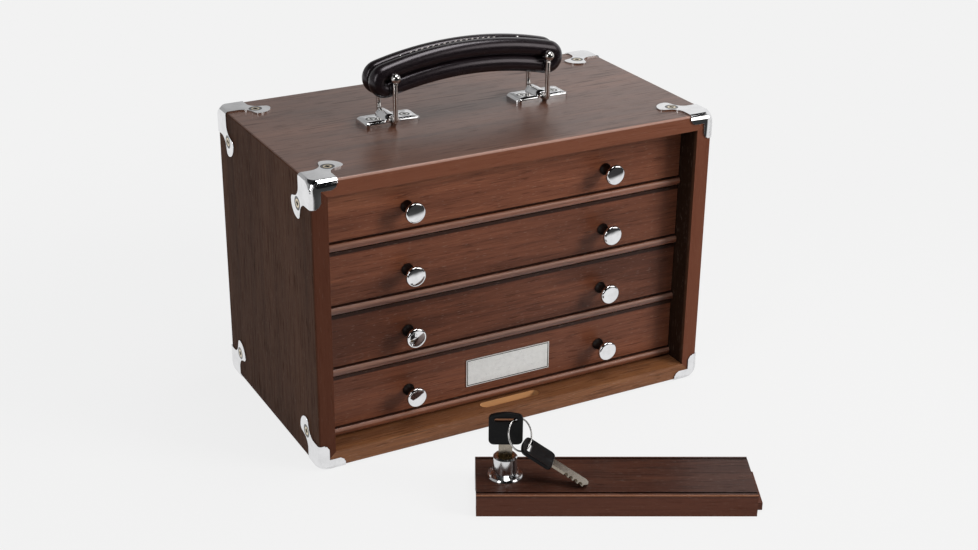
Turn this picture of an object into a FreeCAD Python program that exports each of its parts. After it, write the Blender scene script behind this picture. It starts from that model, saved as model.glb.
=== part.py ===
import FreeCAD, Part
import math
import os
import re
import Sketcher

# A portable drawer chest: a mitred wooden case with metal corners, four drawers,
# a folding padded handle on two bails, and the lock bar that closes the drawers off,
# taken out and laid on the floor in front, with its two keys on a ring.
# Millimetres. X points right, Y back and Z up. The origin is the middle of the wooden
# case's underside. The floor is lower by the sheet of the metal corners.

Vector = FreeCAD.Vector
Rotation = FreeCAD.Rotation
Placement = FreeCAD.Placement

X_AXIS = Vector(1, 0, 0)
Y_AXIS = Vector(0, 1, 0)
Z_AXIS = Vector(0, 0, 1)

# Driving sizes: name, value, meaning

SIZES = [
    ("case_width", 340, "outer width of the wooden case"),
    ("case_depth", 190, "outer depth of the wooden case"),
    ("case_height", 232, "outer height of the wooden case"),
    ("board_thick", 13, "thickness of the four mitred boards"),
    ("arris", 1.5, "rounding of the case's long edges"),
    ("ball_radius", 10.5, "rounding of the wood under each metal corner"),
    ("ball_inset", 8, "centre of that rounding, from the three faces"),
    ("back_thick", 5, "thickness of the back panel"),
    ("rebate_width", 6, "rebate round the opening that holds the back panel"),
    ("panel_clear", 0.2, "play of the back panel in its rebate"),
    ("recess", 21, "drawer fronts stand this far behind the front edges"),
    ("slot_length", 53, "slot in the bottom board for the lock bar's tongue"),
    ("slot_width", 8.7, "width of that slot"),
    ("slot_depth", 6, "depth of that slot"),
    ("slot_inset", 12.95, "middle of that slot, from the front"),
    ("mortise_length", 16, "mortise under the top board for the cam"),
    ("mortise_width", 6, "width of that mortise"),
    ("mortise_depth", 6, "depth of that mortise"),
    ("mortise_inset", 16, "middle of that mortise, from the front"),
    ("drawer_count", 4, "drawers, one above the other"),
    ("top_gap", 2, "gap above the top drawer"),
    ("drawer_gap", 1, "gap under each drawer"),
    ("side_clear", 0.7, "gap beside each drawer"),
    ("front_thick", 11, "thickness of a drawer front"),
    ("side_thick", 9, "thickness of a drawer side"),
    ("tray_back_thick", 8, "thickness of a drawer back"),
    ("tray_thick", 3, "thickness of a drawer bottom"),
    ("groove_depth", 4, "grooves that hold a drawer bottom"),
    ("groove_lift", 4, "drawer bottom above the lower edge of the sides"),
    ("side_drop", 5, "sides are lower than the front by this much"),
    ("rear_gap", 6, "gap behind a closed drawer"),
    ("felt_thick", 1.2, "felt liner"),
    ("runner_height", 8, "height of a runner"),
    ("runner_depth", 5, "runner stands out of the case side by this much"),
    ("runner_lift", 18, "runner above the lower edge of its drawer"),
    ("runner_clear", 0.4, "play of a runner in its groove"),
    ("bead_height", 6.5, "bead along the lower edge of a drawer front"),
    ("bead_out", 2.8, "bead stands out by this much"),
    ("bead_round", 2.6, "rounding of the bead"),
    ("quirk_width", 1, "groove above the bead"),
    ("quirk_depth", 0.8, "depth of that groove"),
    ("knob_spread", 172, "between the two knobs of a drawer"),
    ("knob_head", 16, "diameter of a knob's head"),
    ("knob_neck", 7.4, "diameter of a knob's neck"),
    ("knob_foot", 9.6, "diameter of a knob's foot"),
    ("knob_out", 17, "length of a knob"),
    ("knob_rim", 3, "thickness of a knob's head"),
    ("knob_foot_high", 3.2, "height of that foot"),
    ("knob_foot_curve", 0.1, "hollow of the foot"),
    ("knob_flare", 5, "height of the flare under a knob's head"),
    ("knob_flare_curve", 1.2, "hollow of the flare"),
    ("knob_edge", 1, "rounded edge of a knob's head"),
    ("knob_edge_curve", 0.27, "bulge of that edge"),
    ("knob_crown", 0.45, "height of the head's domed face"),
    ("knob_crown_curve", 0.12, "bulge of that face"),
    ("pole_flat", 0.4, "flat at the middle of a domed face"),
    ("knob_screw", 3.8, "screw that holds a knob"),
    ("knob_screw_bite", 8, "depth of that screw in the knob"),
    ("knob_screw_head", 7.5, "diameter of that screw's head"),
    ("knob_screw_high", 2.4, "height of that head"),
    ("knob_screw_edge", 0.9, "bevel of that head"),
    ("knob_screw_room", 0.5, "room beyond that screw in the knob"),
    ("nameplate_length", 75, "bare plate on the lowest drawer"),
    ("nameplate_height", 23.5, "height of that plate"),
    ("nameplate_thick", 0.8, "thickness of that plate"),
    ("nameplate_lift", 26.4, "middle of the plate above the drawer's lower edge"),
    ("nameplate_shift", 1.8, "middle of the plate, right of the middle"),
    ("metal_sheet", 1, "sheet of the metal corners"),
    ("corner_reach", 20.5, "metal corner along each edge"),
    ("corner_waist", 10, "straight ends of the corner's outline"),
    ("corner_screw", 23, "corner screws, from both edges"),
    ("corner_lobe", 11.8, "rounded end of each leaf, about its screw"),
    ("corner_wrap", 7.6, "strips on the front and the back"),
    ("screw_head", 7.6, "diameter of a countersunk head"),
    ("screw_shank", 3.2, "diameter of its shank"),
    ("screw_length", 10, "length of the screw"),
    ("screw_clear", 0.05, "hole round a screw"),
    ("screw_rim", 0.3, "straight rim of the countersunk head"),
    ("cross_long", 4.2, "length of the cross recess"),
    ("cross_wide", 0.9, "width of the cross recess"),
    ("cross_deep", 1.3, "depth of the cross recess"),
    ("mount_spread", 132, "between the two handle plates"),
    ("mount_length", 46.5, "handle plate along X"),
    ("mount_width", 22.7, "handle plate along Y"),
    ("mount_thick", 4, "thickness of a handle plate"),
    ("mount_round", 2.2, "rounding of the plate's upper edges"),
    ("mount_clip", 3, "clipped corners of the plate"),
    ("mount_screw_spread", 28, "between the two screws of a plate"),
    ("saddle_width", 13, "half-round saddle over the bail"),
    ("saddle_height", 8, "top of the saddle above the board"),
    ("saddle_round", 1.2, "rounded ends of the saddle"),
    ("saddle_inset", 0.5, "saddle inside the plate's edges"),
    ("wire", 4, "diameter of the bail wire"),
    ("wire_clear", 0.1, "play of the bail in its saddle and on its rivet"),
    ("bail_spread", 133, "between the two bails"),
    ("bail_width", 30.4, "between the two legs of a bail"),
    ("bail_lift", 2.6, "bail's axis above the board"),
    ("bail_reach", 36, "from the bail's axis to its rivet"),
    ("bail_bend", 3.5, "radius of the bail's lower bends"),
    ("bail_eye", 8, "diameter of a bail's eye"),
    ("bail_eye_thick", 2.4, "thickness of the eye"),
    ("bail_eye_bite", 1, "wire ends this far below the rivet"),
    ("rivet_pin", 3, "diameter of the rivets"),
    ("rivet_head", 8, "diameter of the rivet heads"),
    ("rivet_head_high", 3.8, "height of the rivet heads"),
    ("rivet_head_gap", 0.1, "between an eye and a rivet head"),
    ("dome_out", 0.74, "rivet dome's outline half way, as a part of its radius"),
    ("dome_up", 0.7, "the same point as a part of its height"),
    ("grip_cap", 141, "between the centres of the grip's round ends"),
    ("grip_height", 27, "height of the grip's section"),
    ("grip_width", 25.6, "width of the grip's section"),
    ("grip_round", 6, "rounding of the grip's rolls"),
    ("grip_arch", 280, "radius of the grip's middle line"),
    ("grip_rise", 5.1, "middle of the grip above its rivets"),
    ("seam_radius", 1.8, "grooves between the rolls of the grip"),
    ("seam_out", 0.6, "middle of a groove outside the surface"),
    ("valley_drop", 0.8, "side grooves below the middle line"),
    ("valley_length", 122, "length of a side groove"),
    ("bar_x", -94.1, "front left corner of the bar on the floor"),
    ("bar_y", -202.1, "the same corner along Y"),
    ("bar_turn", -27.02, "bar turned about Z"),
    ("bar_length", 202.5, "lock bar without its tongue"),
    ("bar_width", 54.5, "width of the lock bar"),
    ("bar_thick", 17.7, "thickness of the lock bar"),
    ("bar_bead", 3.2, "bead along both long edges"),
    ("bar_quirk", 1.2, "groove beside the bead"),
    ("bar_round", 1.2, "rounding of the long edges"),
    ("tongue_length", 4.5, "tongue at the lower end of the bar"),
    ("tongue_width", 43, "width of the tongue"),
    ("tongue_thick", 6, "thickness of the tongue"),
    ("tongue_low", 1.8, "tongue above the inner face"),
    ("lock_inset", 21.5, "lock's axis from the bar's upper end"),
    ("lock_offset", 28.25, "lock's axis from the bar's front edge"),
    ("barrel", 17.7, "diameter of the lock's barrel"),
    ("barrel_high", 16.6, "barrel above the bar"),
    ("flange", 26.5, "diameter of the flange"),
    ("flange_high", 1.8, "height of the flange"),
    ("flange_edge", 0.6, "upright edge of the flange"),
    ("flange_bevel", 0.8, "bevel inside that edge"),
    ("flange_dish", 1.0, "lowest place of the flange, beside the barrel"),
    ("flange_cove", 1.4, "width of the cove round the barrel"),
    ("barrel_edge", 0.8, "bevel of the barrel's upper edge"),
    ("thread", 16, "diameter of the barrel inside the wood"),
    ("lock_clear", 0.1, "play of the lock in the wood and the nut"),
    ("pocket_depth", 7.5, "pocket behind the lock"),
    ("nut_flats", 20, "nut across its flats"),
    ("nut_thick", 3, "thickness of the nut"),
    ("nut_play", 0.6, "pocket round the nut"),
    ("barrel_low", 4.2, "inner end of the barrel above the inner face"),
    ("plug", 13, "diameter of the plug"),
    ("plug_clear", 0.05, "play of the plug in the barrel"),
    ("plug_low", 3.7, "inner end of the plug above the inner face"),
    ("cam_reach", 26.8, "from the lock's axis to the cam's tip"),
    ("cam_width", 12, "width of the cam"),
    ("cam_thick", 1.8, "thickness of the cam"),
    ("cam_play", 0.3, "pocket round the turning cam"),
    ("cam_screw", 4, "diameter of the cam's screw"),
    ("cam_screw_head", 8, "diameter of that screw's head"),
    ("cam_screw_high", 1.4, "height of that head"),
    ("cam_screw_bite", 6, "depth of that screw in the plug"),
    ("cam_screw_edge", 0.6, "bevel of that head"),
    ("cam_screw_room", 0.3, "room beyond that screw in the plug"),
    ("blade_width", 10, "width of a key's blade"),
    ("blade_thick", 2, "thickness of a key's blade"),
    ("blade_long", 29.7, "blade below the head"),
    ("blade_inside", 20.4, "blade inside the plug"),
    ("blade_clear", 0.1, "play of the blade in its keyway"),
    ("blade_notch", 1.6, "depth of the cuts in the blade"),
    ("blade_cuts", 4, "cuts in the blade"),
    ("blade_first_cut", 5.5, "first cut above the tip"),
    ("blade_cut_step", 4, "from one cut to the next"),
    ("blade_cut_half", 1.4, "half the width of a cut"),
    ("blade_point", 2, "bevels at the blade's tip"),
    ("blade_tip", 1, "blunt tip, off the middle"),
    ("tang_long", 8, "blade inside the head"),
    ("tang_width", 7, "width of that tang"),
    ("key_width", 24.8, "width of a key's head"),
    ("key_high", 26, "height of a key's head"),
    ("key_thick", 2.8, "thickness of a key's head"),
    ("key_round", 4, "rounded corners of a key's head"),
    ("key_crown", 2.2, "arch of the head's top edge"),
    ("key_edge", 0.5, "rounding of the head's flat sides"),
    ("key_slot_long", 16.8, "slot in a key's head"),
    ("key_slot_high", 2.9, "height of that slot"),
    ("key_slot_lift", 20.25, "middle of that slot above the head's lower edge"),
    ("ring_radius", 11.9, "middle of the ring's wire"),
    ("ring_wire", 1.3, "diameter of the ring's wire"),
]

doc = FreeCAD.newDocument("portable_drawer_chest")
sheet = doc.addObject("Spreadsheet::Sheet", "Sizes")
for row, (alias, value, meaning) in enumerate(SIZES, start=1):
    sheet.set(f"A{row}", alias)
    sheet.set(f"B{row}", str(value))
    sheet.set(f"C{row}", meaning)
    sheet.setAlias(f"B{row}", alias)
doc.recompute()

CELLS = {alias: "Sizes." + alias for alias, value, meaning in SIZES}

# Places that several pieces share, as expressions of the sizes

INNER_X = "(case_width / 2 - board_thick)"
WOOD_LOW = "0"
WOOD_HIGH = "case_height"
INNER_LOW = "board_thick"
INNER_HIGH = "(case_height - board_thick)"
FACE_Y = "(recess - case_depth / 2)"
PANEL_Y = "(case_depth / 2 - back_thick)"
TRAY_X = "(case_width / 2 - board_thick - side_clear)"
TRAY_INNER_X = "(case_width / 2 - board_thick - side_clear - side_thick)"
TRAY_FRONT_Y = "(recess - case_depth / 2 + front_thick)"
TRAY_END_Y = "(case_depth / 2 - back_thick - rear_gap)"
FRONT_HIGH = ("((case_height - 2 * board_thick - top_gap - drawer_count * drawer_gap)"
              " / drawer_count)")
PIVOT_HIGH = "(case_height + bail_lift + bail_reach)"

nodes = []


def bound(text):
    """The expression with each size's name turned into its cell."""
    return re.sub(r"[a-z]\w*", lambda word: CELLS.get(word.group(), word.group()), text)


def number(text):
    """The present value of an expression."""
    return float(sheet.evalExpression(bound(text)))


def node(feature, label):
    """Keep a feature as a sub-part under its own name."""
    feature.Label = label
    nodes.append(feature)
    return feature


def shaped(label, shape):
    """A sub-part whose shape is worked out here."""
    feature = doc.addObject("Part::Feature", label)
    feature.Shape = shape
    return node(feature, label)


def box(name, span_x, span_y, span_z):
    """A block between pairs of expressions."""
    block = doc.addObject("Part::Box", name)
    spans = zip(("Length", "Width", "Height"), "xyz", (span_x, span_y, span_z))
    for side, axis, (low, high) in spans:
        block.setExpression(side, bound(f"{high} - {low}"))
        block.setExpression(f"Placement.Base.{axis}", bound(low))
    return block


def upright(name, radius, centre, span_z):
    """A cylinder along Z between two expressions."""
    post = doc.addObject("Part::Cylinder", name)
    post.setExpression("Radius", bound(radius))
    post.setExpression("Height", bound(f"{span_z[1]} - {span_z[0]}"))
    for axis, place in zip("xyz", (centre[0], centre[1], span_z[0])):
        post.setExpression(f"Placement.Base.{axis}", bound(place))
    return post


def fused(name, features):
    """Several features as one tool or piece."""
    result = doc.addObject("Part::MultiFuse", name)
    result.Shapes = features
    return result


def cut(name, base, tool):
    """One feature less another."""
    result = doc.addObject("Part::Cut", name)
    result.Base = base
    result.Tool = tool
    return result


def gathered(name, features):
    """Separate solids kept together."""
    result = doc.addObject("Part::Compound", name)
    result.Links = features
    return result


def outline(body, name, role, points):
    """A closed sketch on one of the body's planes, each point bound to expressions."""
    sketch = body.newObject("Sketcher::SketchObject", name)
    plane = next(item for item in body.Origin.OriginFeatures if item.Role == role)
    sketch.AttachmentSupport = [(plane, "")]
    sketch.MapMode = "FlatFace"
    places = [Vector(number(across), number(up), 0) for across, up in points]
    count = len(places)
    for index, place in enumerate(places):
        sketch.addGeometry(Part.LineSegment(place, places[(index + 1) % count]), False)
    for index in range(count):
        after = (index + 1) % count
        sketch.addConstraint(Sketcher.Constraint("Coincident", index, 2, after, 1))
    for index, (point, place) in enumerate(zip(points, places)):
        pairs = (("DistanceX", point[0], place.x), ("DistanceY", point[1], place.y))
        for kind, text, value in pairs:
            made = sketch.addConstraint(Sketcher.Constraint(kind, -1, 1, index, 1, value))
            sketch.setExpression(f"Constraints[{made}]", bound(text))
    return sketch


def padded(name, role, points, length, midplane=True):
    """A body padded from one closed outline."""
    body = doc.addObject("PartDesign::Body", name)
    pad = body.newObject("PartDesign::Pad", name + "_pad")
    body.Tip = pad
    pad.Profile = outline(body, name + "_outline", role, points)
    pad.Midplane = midplane
    pad.setExpression("Length", bound(length))
    doc.recompute()
    return body, pad


def rounded(body, base, radius, wanted):
    """Fillet the edges of a body whose bounding boxes pass the test."""
    names = []
    for index, edge in enumerate(base.Shape.Edges, start=1):
        if wanted(edge.BoundBox):
            names.append(f"Edge{index}")
    fillet = body.newObject("PartDesign::Fillet", body.Name + "_round")
    fillet.Base = (base, names)
    fillet.setExpression("Radius", bound(radius))
    body.Tip = fillet
    doc.recompute()
    return fillet


def turned(points, centre, axis):
    """A solid of revolution from (radius, height) points along an axis."""
    across = axis.cross(Y_AXIS if abs(axis.y) < 0.5 else X_AXIS)
    corners = [centre + across * radius + axis * height for radius, height in points]
    face = Part.Face(Part.makePolygon(corners + corners[:1]))
    return face.revolve(centre, axis, 360)


def joined(start, end, rise):
    """A line between two points of the XZ plane, or an arc that rises off it to the left."""
    if rise == 0:
        return Part.makeLine(start, end)
    chord = end - start
    aside = Vector(-chord.z, 0, chord.x).normalize() * rise
    return Part.Arc(start, (start + end) / 2 + aside, end).toShape()


def moved(shape, place):
    """A copy of a shape under a placement."""
    result = shape.copy()
    result.Placement = place.multiply(result.Placement)
    return result


# Wooden case

def case_form():
    """The whole case as one block, with rounded edges and corners, holes for screws."""
    half_x, half_y = "case_width / 2", "case_depth / 2"
    block = box("case_block", (f"-{half_x}", half_x), (f"-{half_y}", half_y),
                (WOOD_LOW, WOOD_HIGH))
    doc.recompute()
    soft = doc.addObject("Part::Fillet", "case_soft")
    soft.Base = block
    radius = number("arris")
    soft.Edges = [(index, radius, radius) for index in range(1, 13)]
    doc.recompute()
    removed = [at_corner(ball_loss(0), corner, signs) for name, corner, signs in case_corners()]
    removed += [screw_hole(place) for place in corner_screw_places()]
    form = doc.addObject("Part::Feature", "case_form")
    form.Shape = soft.Shape.cut(Part.makeCompound(removed))
    return form


def case_corners():
    """The eight corners of the wood, each with the signs of its inward directions."""
    half_x, half_y = number("case_width / 2"), number("case_depth / 2")
    low, high = number(WOOD_LOW), number(WOOD_HIGH)
    places = []
    for z, level, up in ((high, "top", -1), (low, "bottom", 1)):
        for y, row, back in ((-half_y, "front", 1), (half_y, "back", -1)):
            for x, hand, right in ((-half_x, "left", 1), (half_x, "right", -1)):
                places.append((f"{row}_{level}_{hand}", Vector(x, y, z), (right, back, up)))
    return places


def ball_loss(skin):
    """What the ball rounding takes off one inward corner of a form offset by the skin."""
    inset = number("ball_inset")
    side = inset + skin
    cube = Part.makeBox(side, side, side, Vector(-skin, -skin, -skin))
    return cube.cut(Part.makeSphere(number("ball_radius") + skin, Vector(inset, inset, inset)))


def at_corner(shape, corner, signs):
    """A shape modelled at an inward corner, mirrored and moved to one of the eight."""
    result = shape.copy()
    for sign, normal in zip(signs, (X_AXIS, Y_AXIS, Z_AXIS)):
        if sign < 0:
            result = result.mirror(Vector(0, 0, 0), normal)
    result.translate(corner)
    return result


def mitred(name, form, points):
    """A board with mitred ends, cut to the case's rounded form."""
    body, pad = padded(name + "_board", "XZ_Plane", points, "case_depth")
    shared = doc.addObject("Part::MultiCommon", name + "_form")
    shared.Shapes = [body, form]
    return shared


def wooden_case():
    """Four mitred boards, the back panel and the drawer runners."""
    form = case_form()
    out_x, in_x = "case_width / 2", INNER_X
    rebate = box("rebate", (f"-({in_x} + rebate_width)", f"({in_x} + rebate_width)"),
                 (PANEL_Y, "(case_depth / 2 + 1)"),
                 (f"({INNER_LOW} - rebate_width)", f"({INNER_HIGH} + rebate_width)"))
    slot_y = "(slot_inset - case_depth / 2)"
    slot_end = "(slot_length / 2 - slot_width / 2)"
    slot_span = (f"({INNER_LOW} - slot_depth)", f"({INNER_LOW} + 1)")
    slot = fused("slot", [
        rebate,
        box("slot_middle", (f"-{slot_end}", slot_end),
            (f"({slot_y} - slot_width / 2)", f"({slot_y} + slot_width / 2)"), slot_span),
        upright("slot_left", "slot_width / 2", (f"-{slot_end}", slot_y), slot_span),
        upright("slot_right", "slot_width / 2", (slot_end, slot_y), slot_span),
    ])
    mortise_y = "(mortise_inset - case_depth / 2)"
    mortise = fused("mortise", [
        rebate,
        box("mortise_middle", ("-mortise_length / 2", "mortise_length / 2"),
            (f"({mortise_y} - mortise_width / 2)", f"({mortise_y} + mortise_width / 2)"),
            (f"({INNER_HIGH} - 1)", f"({INNER_HIGH} + mortise_depth)")),
        plate_screw_holes(),
    ])
    top = mitred("top", form, [
        (f"-{in_x}", INNER_HIGH), (in_x, INNER_HIGH), (out_x, WOOD_HIGH), (f"-{out_x}", WOOD_HIGH)])
    bottom = mitred("bottom", form, [
        (f"-{out_x}", WOOD_LOW), (out_x, WOOD_LOW), (in_x, INNER_LOW), (f"-{in_x}", INNER_LOW)])
    left = mitred("left", form, [
        (f"-{out_x}", WOOD_LOW), (f"-{in_x}", INNER_LOW), (f"-{in_x}", INNER_HIGH),
        (f"-{out_x}", WOOD_HIGH)])
    right = mitred("right", form, [
        (in_x, INNER_LOW), (out_x, WOOD_LOW), (out_x, WOOD_HIGH), (in_x, INNER_HIGH)])
    node(cut("case_top", top, mortise), "case_top")
    node(cut("case_bottom", bottom, slot), "case_bottom")
    node(cut("case_left_side", left, rebate), "case_left_side")
    node(cut("case_right_side", right, rebate), "case_right_side")
    panel_x = f"({in_x} + rebate_width - panel_clear)"
    panel = box("panel", (f"-{panel_x}", panel_x), (PANEL_Y, "(case_depth / 2)"),
                (f"({INNER_LOW} - rebate_width + panel_clear)",
                 f"({INNER_HIGH} + rebate_width - panel_clear)"))
    node(panel, "back_panel")
    for hand, sign in (("left", -1), ("right", 1)):
        node(gathered(hand + "_rails", runners(hand, sign)), hand + "_runners")


def runners(hand, sign):
    """One runner for each drawer on one side of the case."""
    wall, tip = INNER_X, f"({INNER_X} - runner_depth)"
    span_x = (tip, wall) if sign > 0 else (f"-{wall}", f"-{tip}")
    rails = []
    for index in range(int(number("drawer_count"))):
        low = f"({drawer_low(index)} + runner_lift)"
        rails.append(box(f"{hand}_rail_{index + 1}", span_x,
                         (f"({TRAY_FRONT_Y} + runner_clear)", PANEL_Y),
                         (low, f"({low} + runner_height)")))
    return rails


# Screws

def countersunk(clear):
    """A countersunk screw pointing down from the surface it sits in."""
    head, shank = number("screw_head / 2") + clear, number("screw_shank / 2") + clear
    rim, length = number("screw_rim"), number("screw_length") + clear
    cone = rim + head - shank
    return turned([(0, 0), (head, 0), (head, -rim), (shank, -cone), (shank, -length),
                   (0, -length)], Vector(0, 0, 0), Z_AXIS)


def crossed():
    """The same screw with a cross recess in its head."""
    long, wide, deep = number("cross_long"), number("cross_wide"), number("cross_deep")
    low = Vector(-long / 2, -wide / 2, -deep)
    blade = Part.makeBox(long, wide, deep + 1, low)
    other = blade.copy()
    other.rotate(Vector(0, 0, 0), Z_AXIS, 90)
    return countersunk(0).cut(blade.fuse(other))


def screw_hole(place):
    """The hole for one countersunk screw."""
    return moved(countersunk(number("screw_clear")), place)


def corner_screw_places():
    """Placements of the sixteen corner screws: one in each leaf."""
    inset, skin = number("corner_screw"), number("metal_sheet")
    places = []
    for name, corner, (right, back, up) in case_corners():
        upper = corner + Vector(right * inset, back * inset, -up * skin)
        places.append(Placement(upper, Rotation(Z_AXIS, Vector(0, 0, -up))))
        beside = corner + Vector(-right * skin, back * inset, up * inset)
        places.append(Placement(beside, Rotation(Z_AXIS, Vector(-right, 0, 0))))
    return places


def plate_screw_places():
    """Placements of the four screws that hold the handle plates."""
    spread, half = number("mount_spread / 2"), number("mount_screw_spread / 2")
    high = number(WOOD_HIGH) + number("mount_thick")
    xs = [side * spread + end * half for side in (-1, 1) for end in (-1, 1)]
    return [Placement(Vector(x, 0, high), Rotation()) for x in xs]


def plate_screw_holes():
    """The holes for the plate screws, in the plates and the top board."""
    holes = doc.addObject("Part::Feature", "plate_screw_holes")
    holes.Shape = Part.makeCompound([screw_hole(place) for place in plate_screw_places()])
    return holes


def screws():
    """All countersunk screws."""
    one = crossed()
    shaped("corner_screws", Part.makeCompound([moved(one, p) for p in corner_screw_places()]))
    shaped("plate_screws", Part.makeCompound([moved(one, p) for p in plate_screw_places()]))


# Metal corners

# Half of a leaf between its waist and its lobe: the waist's curve from the waist, the
# rest from the screw, each along the edge and away from it

WAIST_CURVE = (1.7, 4.4)
NECK = (3.5, -5)
SHOULDER = (8.4, -3.6)
SHOULDER_CURVE = (11, -2.2)

# Each half of the front and back strips, from the reach and the wrap's width

WRAP_EDGE = (0, -7.1)
WRAP_BEVEL = (-1, -2)
WRAP_TIP = (-4, 0)


def leaf_edges(first, second):
    """Half of a leaf's outline, from the edge to the diagonal, in two directions."""
    reach, screw = number("corner_reach"), number("corner_screw")
    waist, lobe = number("corner_waist"), number("corner_lobe")

    def at(base, offset):
        return first * (base[0] + offset[0]) + second * (base[1] + offset[1])

    def on_lobe(degrees):
        turn = math.radians(degrees)
        return at((screw, screw), (lobe * math.cos(turn), lobe * math.sin(turn)))

    waist_end, middle = (reach, waist), (screw, screw)
    neck, shoulder = at(middle, NECK), at(middle, SHOULDER)
    return [
        Part.makeLine(at((reach, 0), (0, 0)), at(waist_end, (0, 0))),
        Part.Arc(at(waist_end, (0, 0)), at(waist_end, WAIST_CURVE), neck).toShape(),
        Part.makeLine(neck, shoulder),
        Part.Arc(shoulder, at(middle, SHOULDER_CURVE), on_lobe(0)).toShape(),
        Part.Arc(on_lobe(0), on_lobe(22.5), on_lobe(45)).toShape(),
    ]


def leaf(first, second, inward):
    """A prism over one leaf, from outside the sheet to below the rounding."""
    skin, depth = number("metal_sheet"), number("ball_inset / 2")
    origin = (first + second) * -skin
    reach = number("corner_reach")
    edges = leaf_edges(first, second) + leaf_edges(second, first)
    ends = [first * reach, first * reach - second * skin, origin,
            second * reach - first * skin, second * reach]
    edges += [Part.makeLine(a, b) for a, b in zip(ends, ends[1:])]
    wire = Part.Wire(Part.sortEdges(edges)[0])
    wire.translate(inward * -skin)
    return Part.Face(wire).extrude(inward * (skin + depth))


def wrap():
    """A prism over the two narrow strips on the front or the back."""
    skin, depth = number("metal_sheet"), number("ball_inset / 2")
    reach, wide = number("corner_reach"), number("corner_wrap")
    half = [(reach, -skin)]
    half += [(reach + along, wide + off) for along, off in (WRAP_EDGE, WRAP_BEVEL, WRAP_TIP)]
    half += [(wide, wide)]
    points = [(-skin, -skin)] + half + [(b, a) for a, b in reversed(half[:-1])]
    corners = [Vector(a, -skin, b) for a, b in points]
    return Part.Face(Part.makePolygon(corners + corners[:1])).extrude(Y_AXIS * (skin + depth))


def corner_piece():
    """One metal corner, modelled at an inward corner of the wood."""
    skin, span = number("metal_sheet"), number("corner_reach + corner_screw")
    outer = soft_block(-skin, span, number("arris") + skin).cut(ball_loss(skin))
    inner = soft_block(0, span + 1, number("arris")).cut(ball_loss(0))
    region = leaf(X_AXIS, Y_AXIS, Z_AXIS).multiFuse([leaf(Z_AXIS, Y_AXIS, X_AXIS), wrap()])
    piece = outer.cut(inner).common(region)
    screw = number("corner_screw")
    holes = [screw_hole(Placement(Vector(screw, screw, -skin), Rotation(Z_AXIS, -Z_AXIS))),
             screw_hole(Placement(Vector(-skin, screw, screw), Rotation(Z_AXIS, -X_AXIS)))]
    return piece.cut(Part.makeCompound(holes))


def soft_block(low, high, radius):
    """A block from one inward corner, its three edges at that corner rounded."""
    side = high - low
    block = Part.makeBox(side, side, side, Vector(low, low, low))
    edges = [edge for edge in block.Edges
             if sum(abs(v.X - low) + abs(v.Y - low) + abs(v.Z - low) < 0.001
                    for v in edge.Vertexes)]
    return block.makeFillet(radius, edges)


def metal_corners():
    """The eight metal corners."""
    piece = corner_piece()
    for name, corner, signs in case_corners():
        shaped(name + "_corner", at_corner(piece, corner, signs))


# Drawers

def drawer_low(index):
    """Lower edge of a drawer, counted from the lowest."""
    return f"({INNER_LOW} + drawer_gap + {index} * ({FRONT_HIGH} + drawer_gap))"


def drawer(index):
    """One drawer: front with a bead, sides, back, bottom, felt, knobs."""
    name = f"drawer_{index + 1}"
    low = drawer_low(index)
    high = f"({low} + {FRONT_HIGH})"
    side_high = f"({high} - side_drop)"
    tray = box(name + "_tray",
               (f"-({TRAY_INNER_X} + groove_depth)", f"({TRAY_INNER_X} + groove_depth)"),
               (f"({TRAY_FRONT_Y} - groove_depth)",
                f"({TRAY_END_Y} - tray_back_thick + groove_depth)"),
               (f"({low} + groove_lift)", f"({low} + groove_lift + tray_thick)"))

    quirk_low, quirk_high = f"({low} + bead_height)", f"({low} + bead_height + quirk_width)"
    bead_y, quirk_y = f"({FACE_Y} - bead_out)", f"({FACE_Y} + quirk_depth)"
    body, pad = padded(name + "_face", "YZ_Plane", [
        (TRAY_FRONT_Y, low), (TRAY_FRONT_Y, high), (FACE_Y, high), (FACE_Y, quirk_high),
        (quirk_y, quirk_high), (quirk_y, quirk_low), (bead_y, quirk_low), (bead_y, low),
    ], f"2 * {TRAY_X}")
    edge_y = number(bead_y)
    rounded(body, pad, "bead_round", lambda b: b.XLength > 1 and abs(b.YMax - edge_y) < 0.01)
    knob_z = f"({low} + {FRONT_HIGH} / 2)"
    node(cut(name + "_face_cut", body, fused(name + "_face_tools", [
        tray, knob_bores(name, knob_z)])), name + "_front")

    rail_low = f"({low} + runner_lift)"
    sides = []
    for hand, sign in (("left", "-"), ("right", "")):
        groove = box(f"{name}_{hand}_groove", span(sign, f"({INNER_X} - runner_depth"
                                                   " - runner_clear)", INNER_X),
                     (f"({TRAY_FRONT_Y} - 1)", f"({TRAY_END_Y} + 1)"),
                     (f"({rail_low} - runner_clear)",
                      f"({rail_low} + runner_height + runner_clear)"))
        blank = box(f"{name}_{hand}_blank", span(sign, TRAY_INNER_X, TRAY_X),
                    (TRAY_FRONT_Y, TRAY_END_Y), (low, side_high))
        tools = fused(f"{name}_{hand}_tools", [groove, tray])
        sides.append(cut(f"{name}_{hand}_side", blank, tools))
    node(gathered(name + "_side_pair", sides), name + "_sides")

    rear = box(name + "_rear", (f"-{TRAY_INNER_X}", TRAY_INNER_X),
               (f"({TRAY_END_Y} - tray_back_thick)", TRAY_END_Y), (low, side_high))
    node(cut(name + "_rear_cut", rear, tray), name + "_back")
    node(tray, name + "_bottom")
    felt_low = f"({low} + groove_lift + tray_thick)"
    node(box(name + "_felt", (f"-{TRAY_INNER_X}", TRAY_INNER_X),
             (TRAY_FRONT_Y, f"({TRAY_END_Y} - tray_back_thick)"),
             (felt_low, f"({felt_low} + felt_thick)")), name + "_liner")
    knobs(name, number(knob_z))


def span(sign, near, far):
    """A span on the right side, or its mirror image on the left."""
    return (near, far) if sign == "" else (f"-{far}", f"-{near}")


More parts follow.
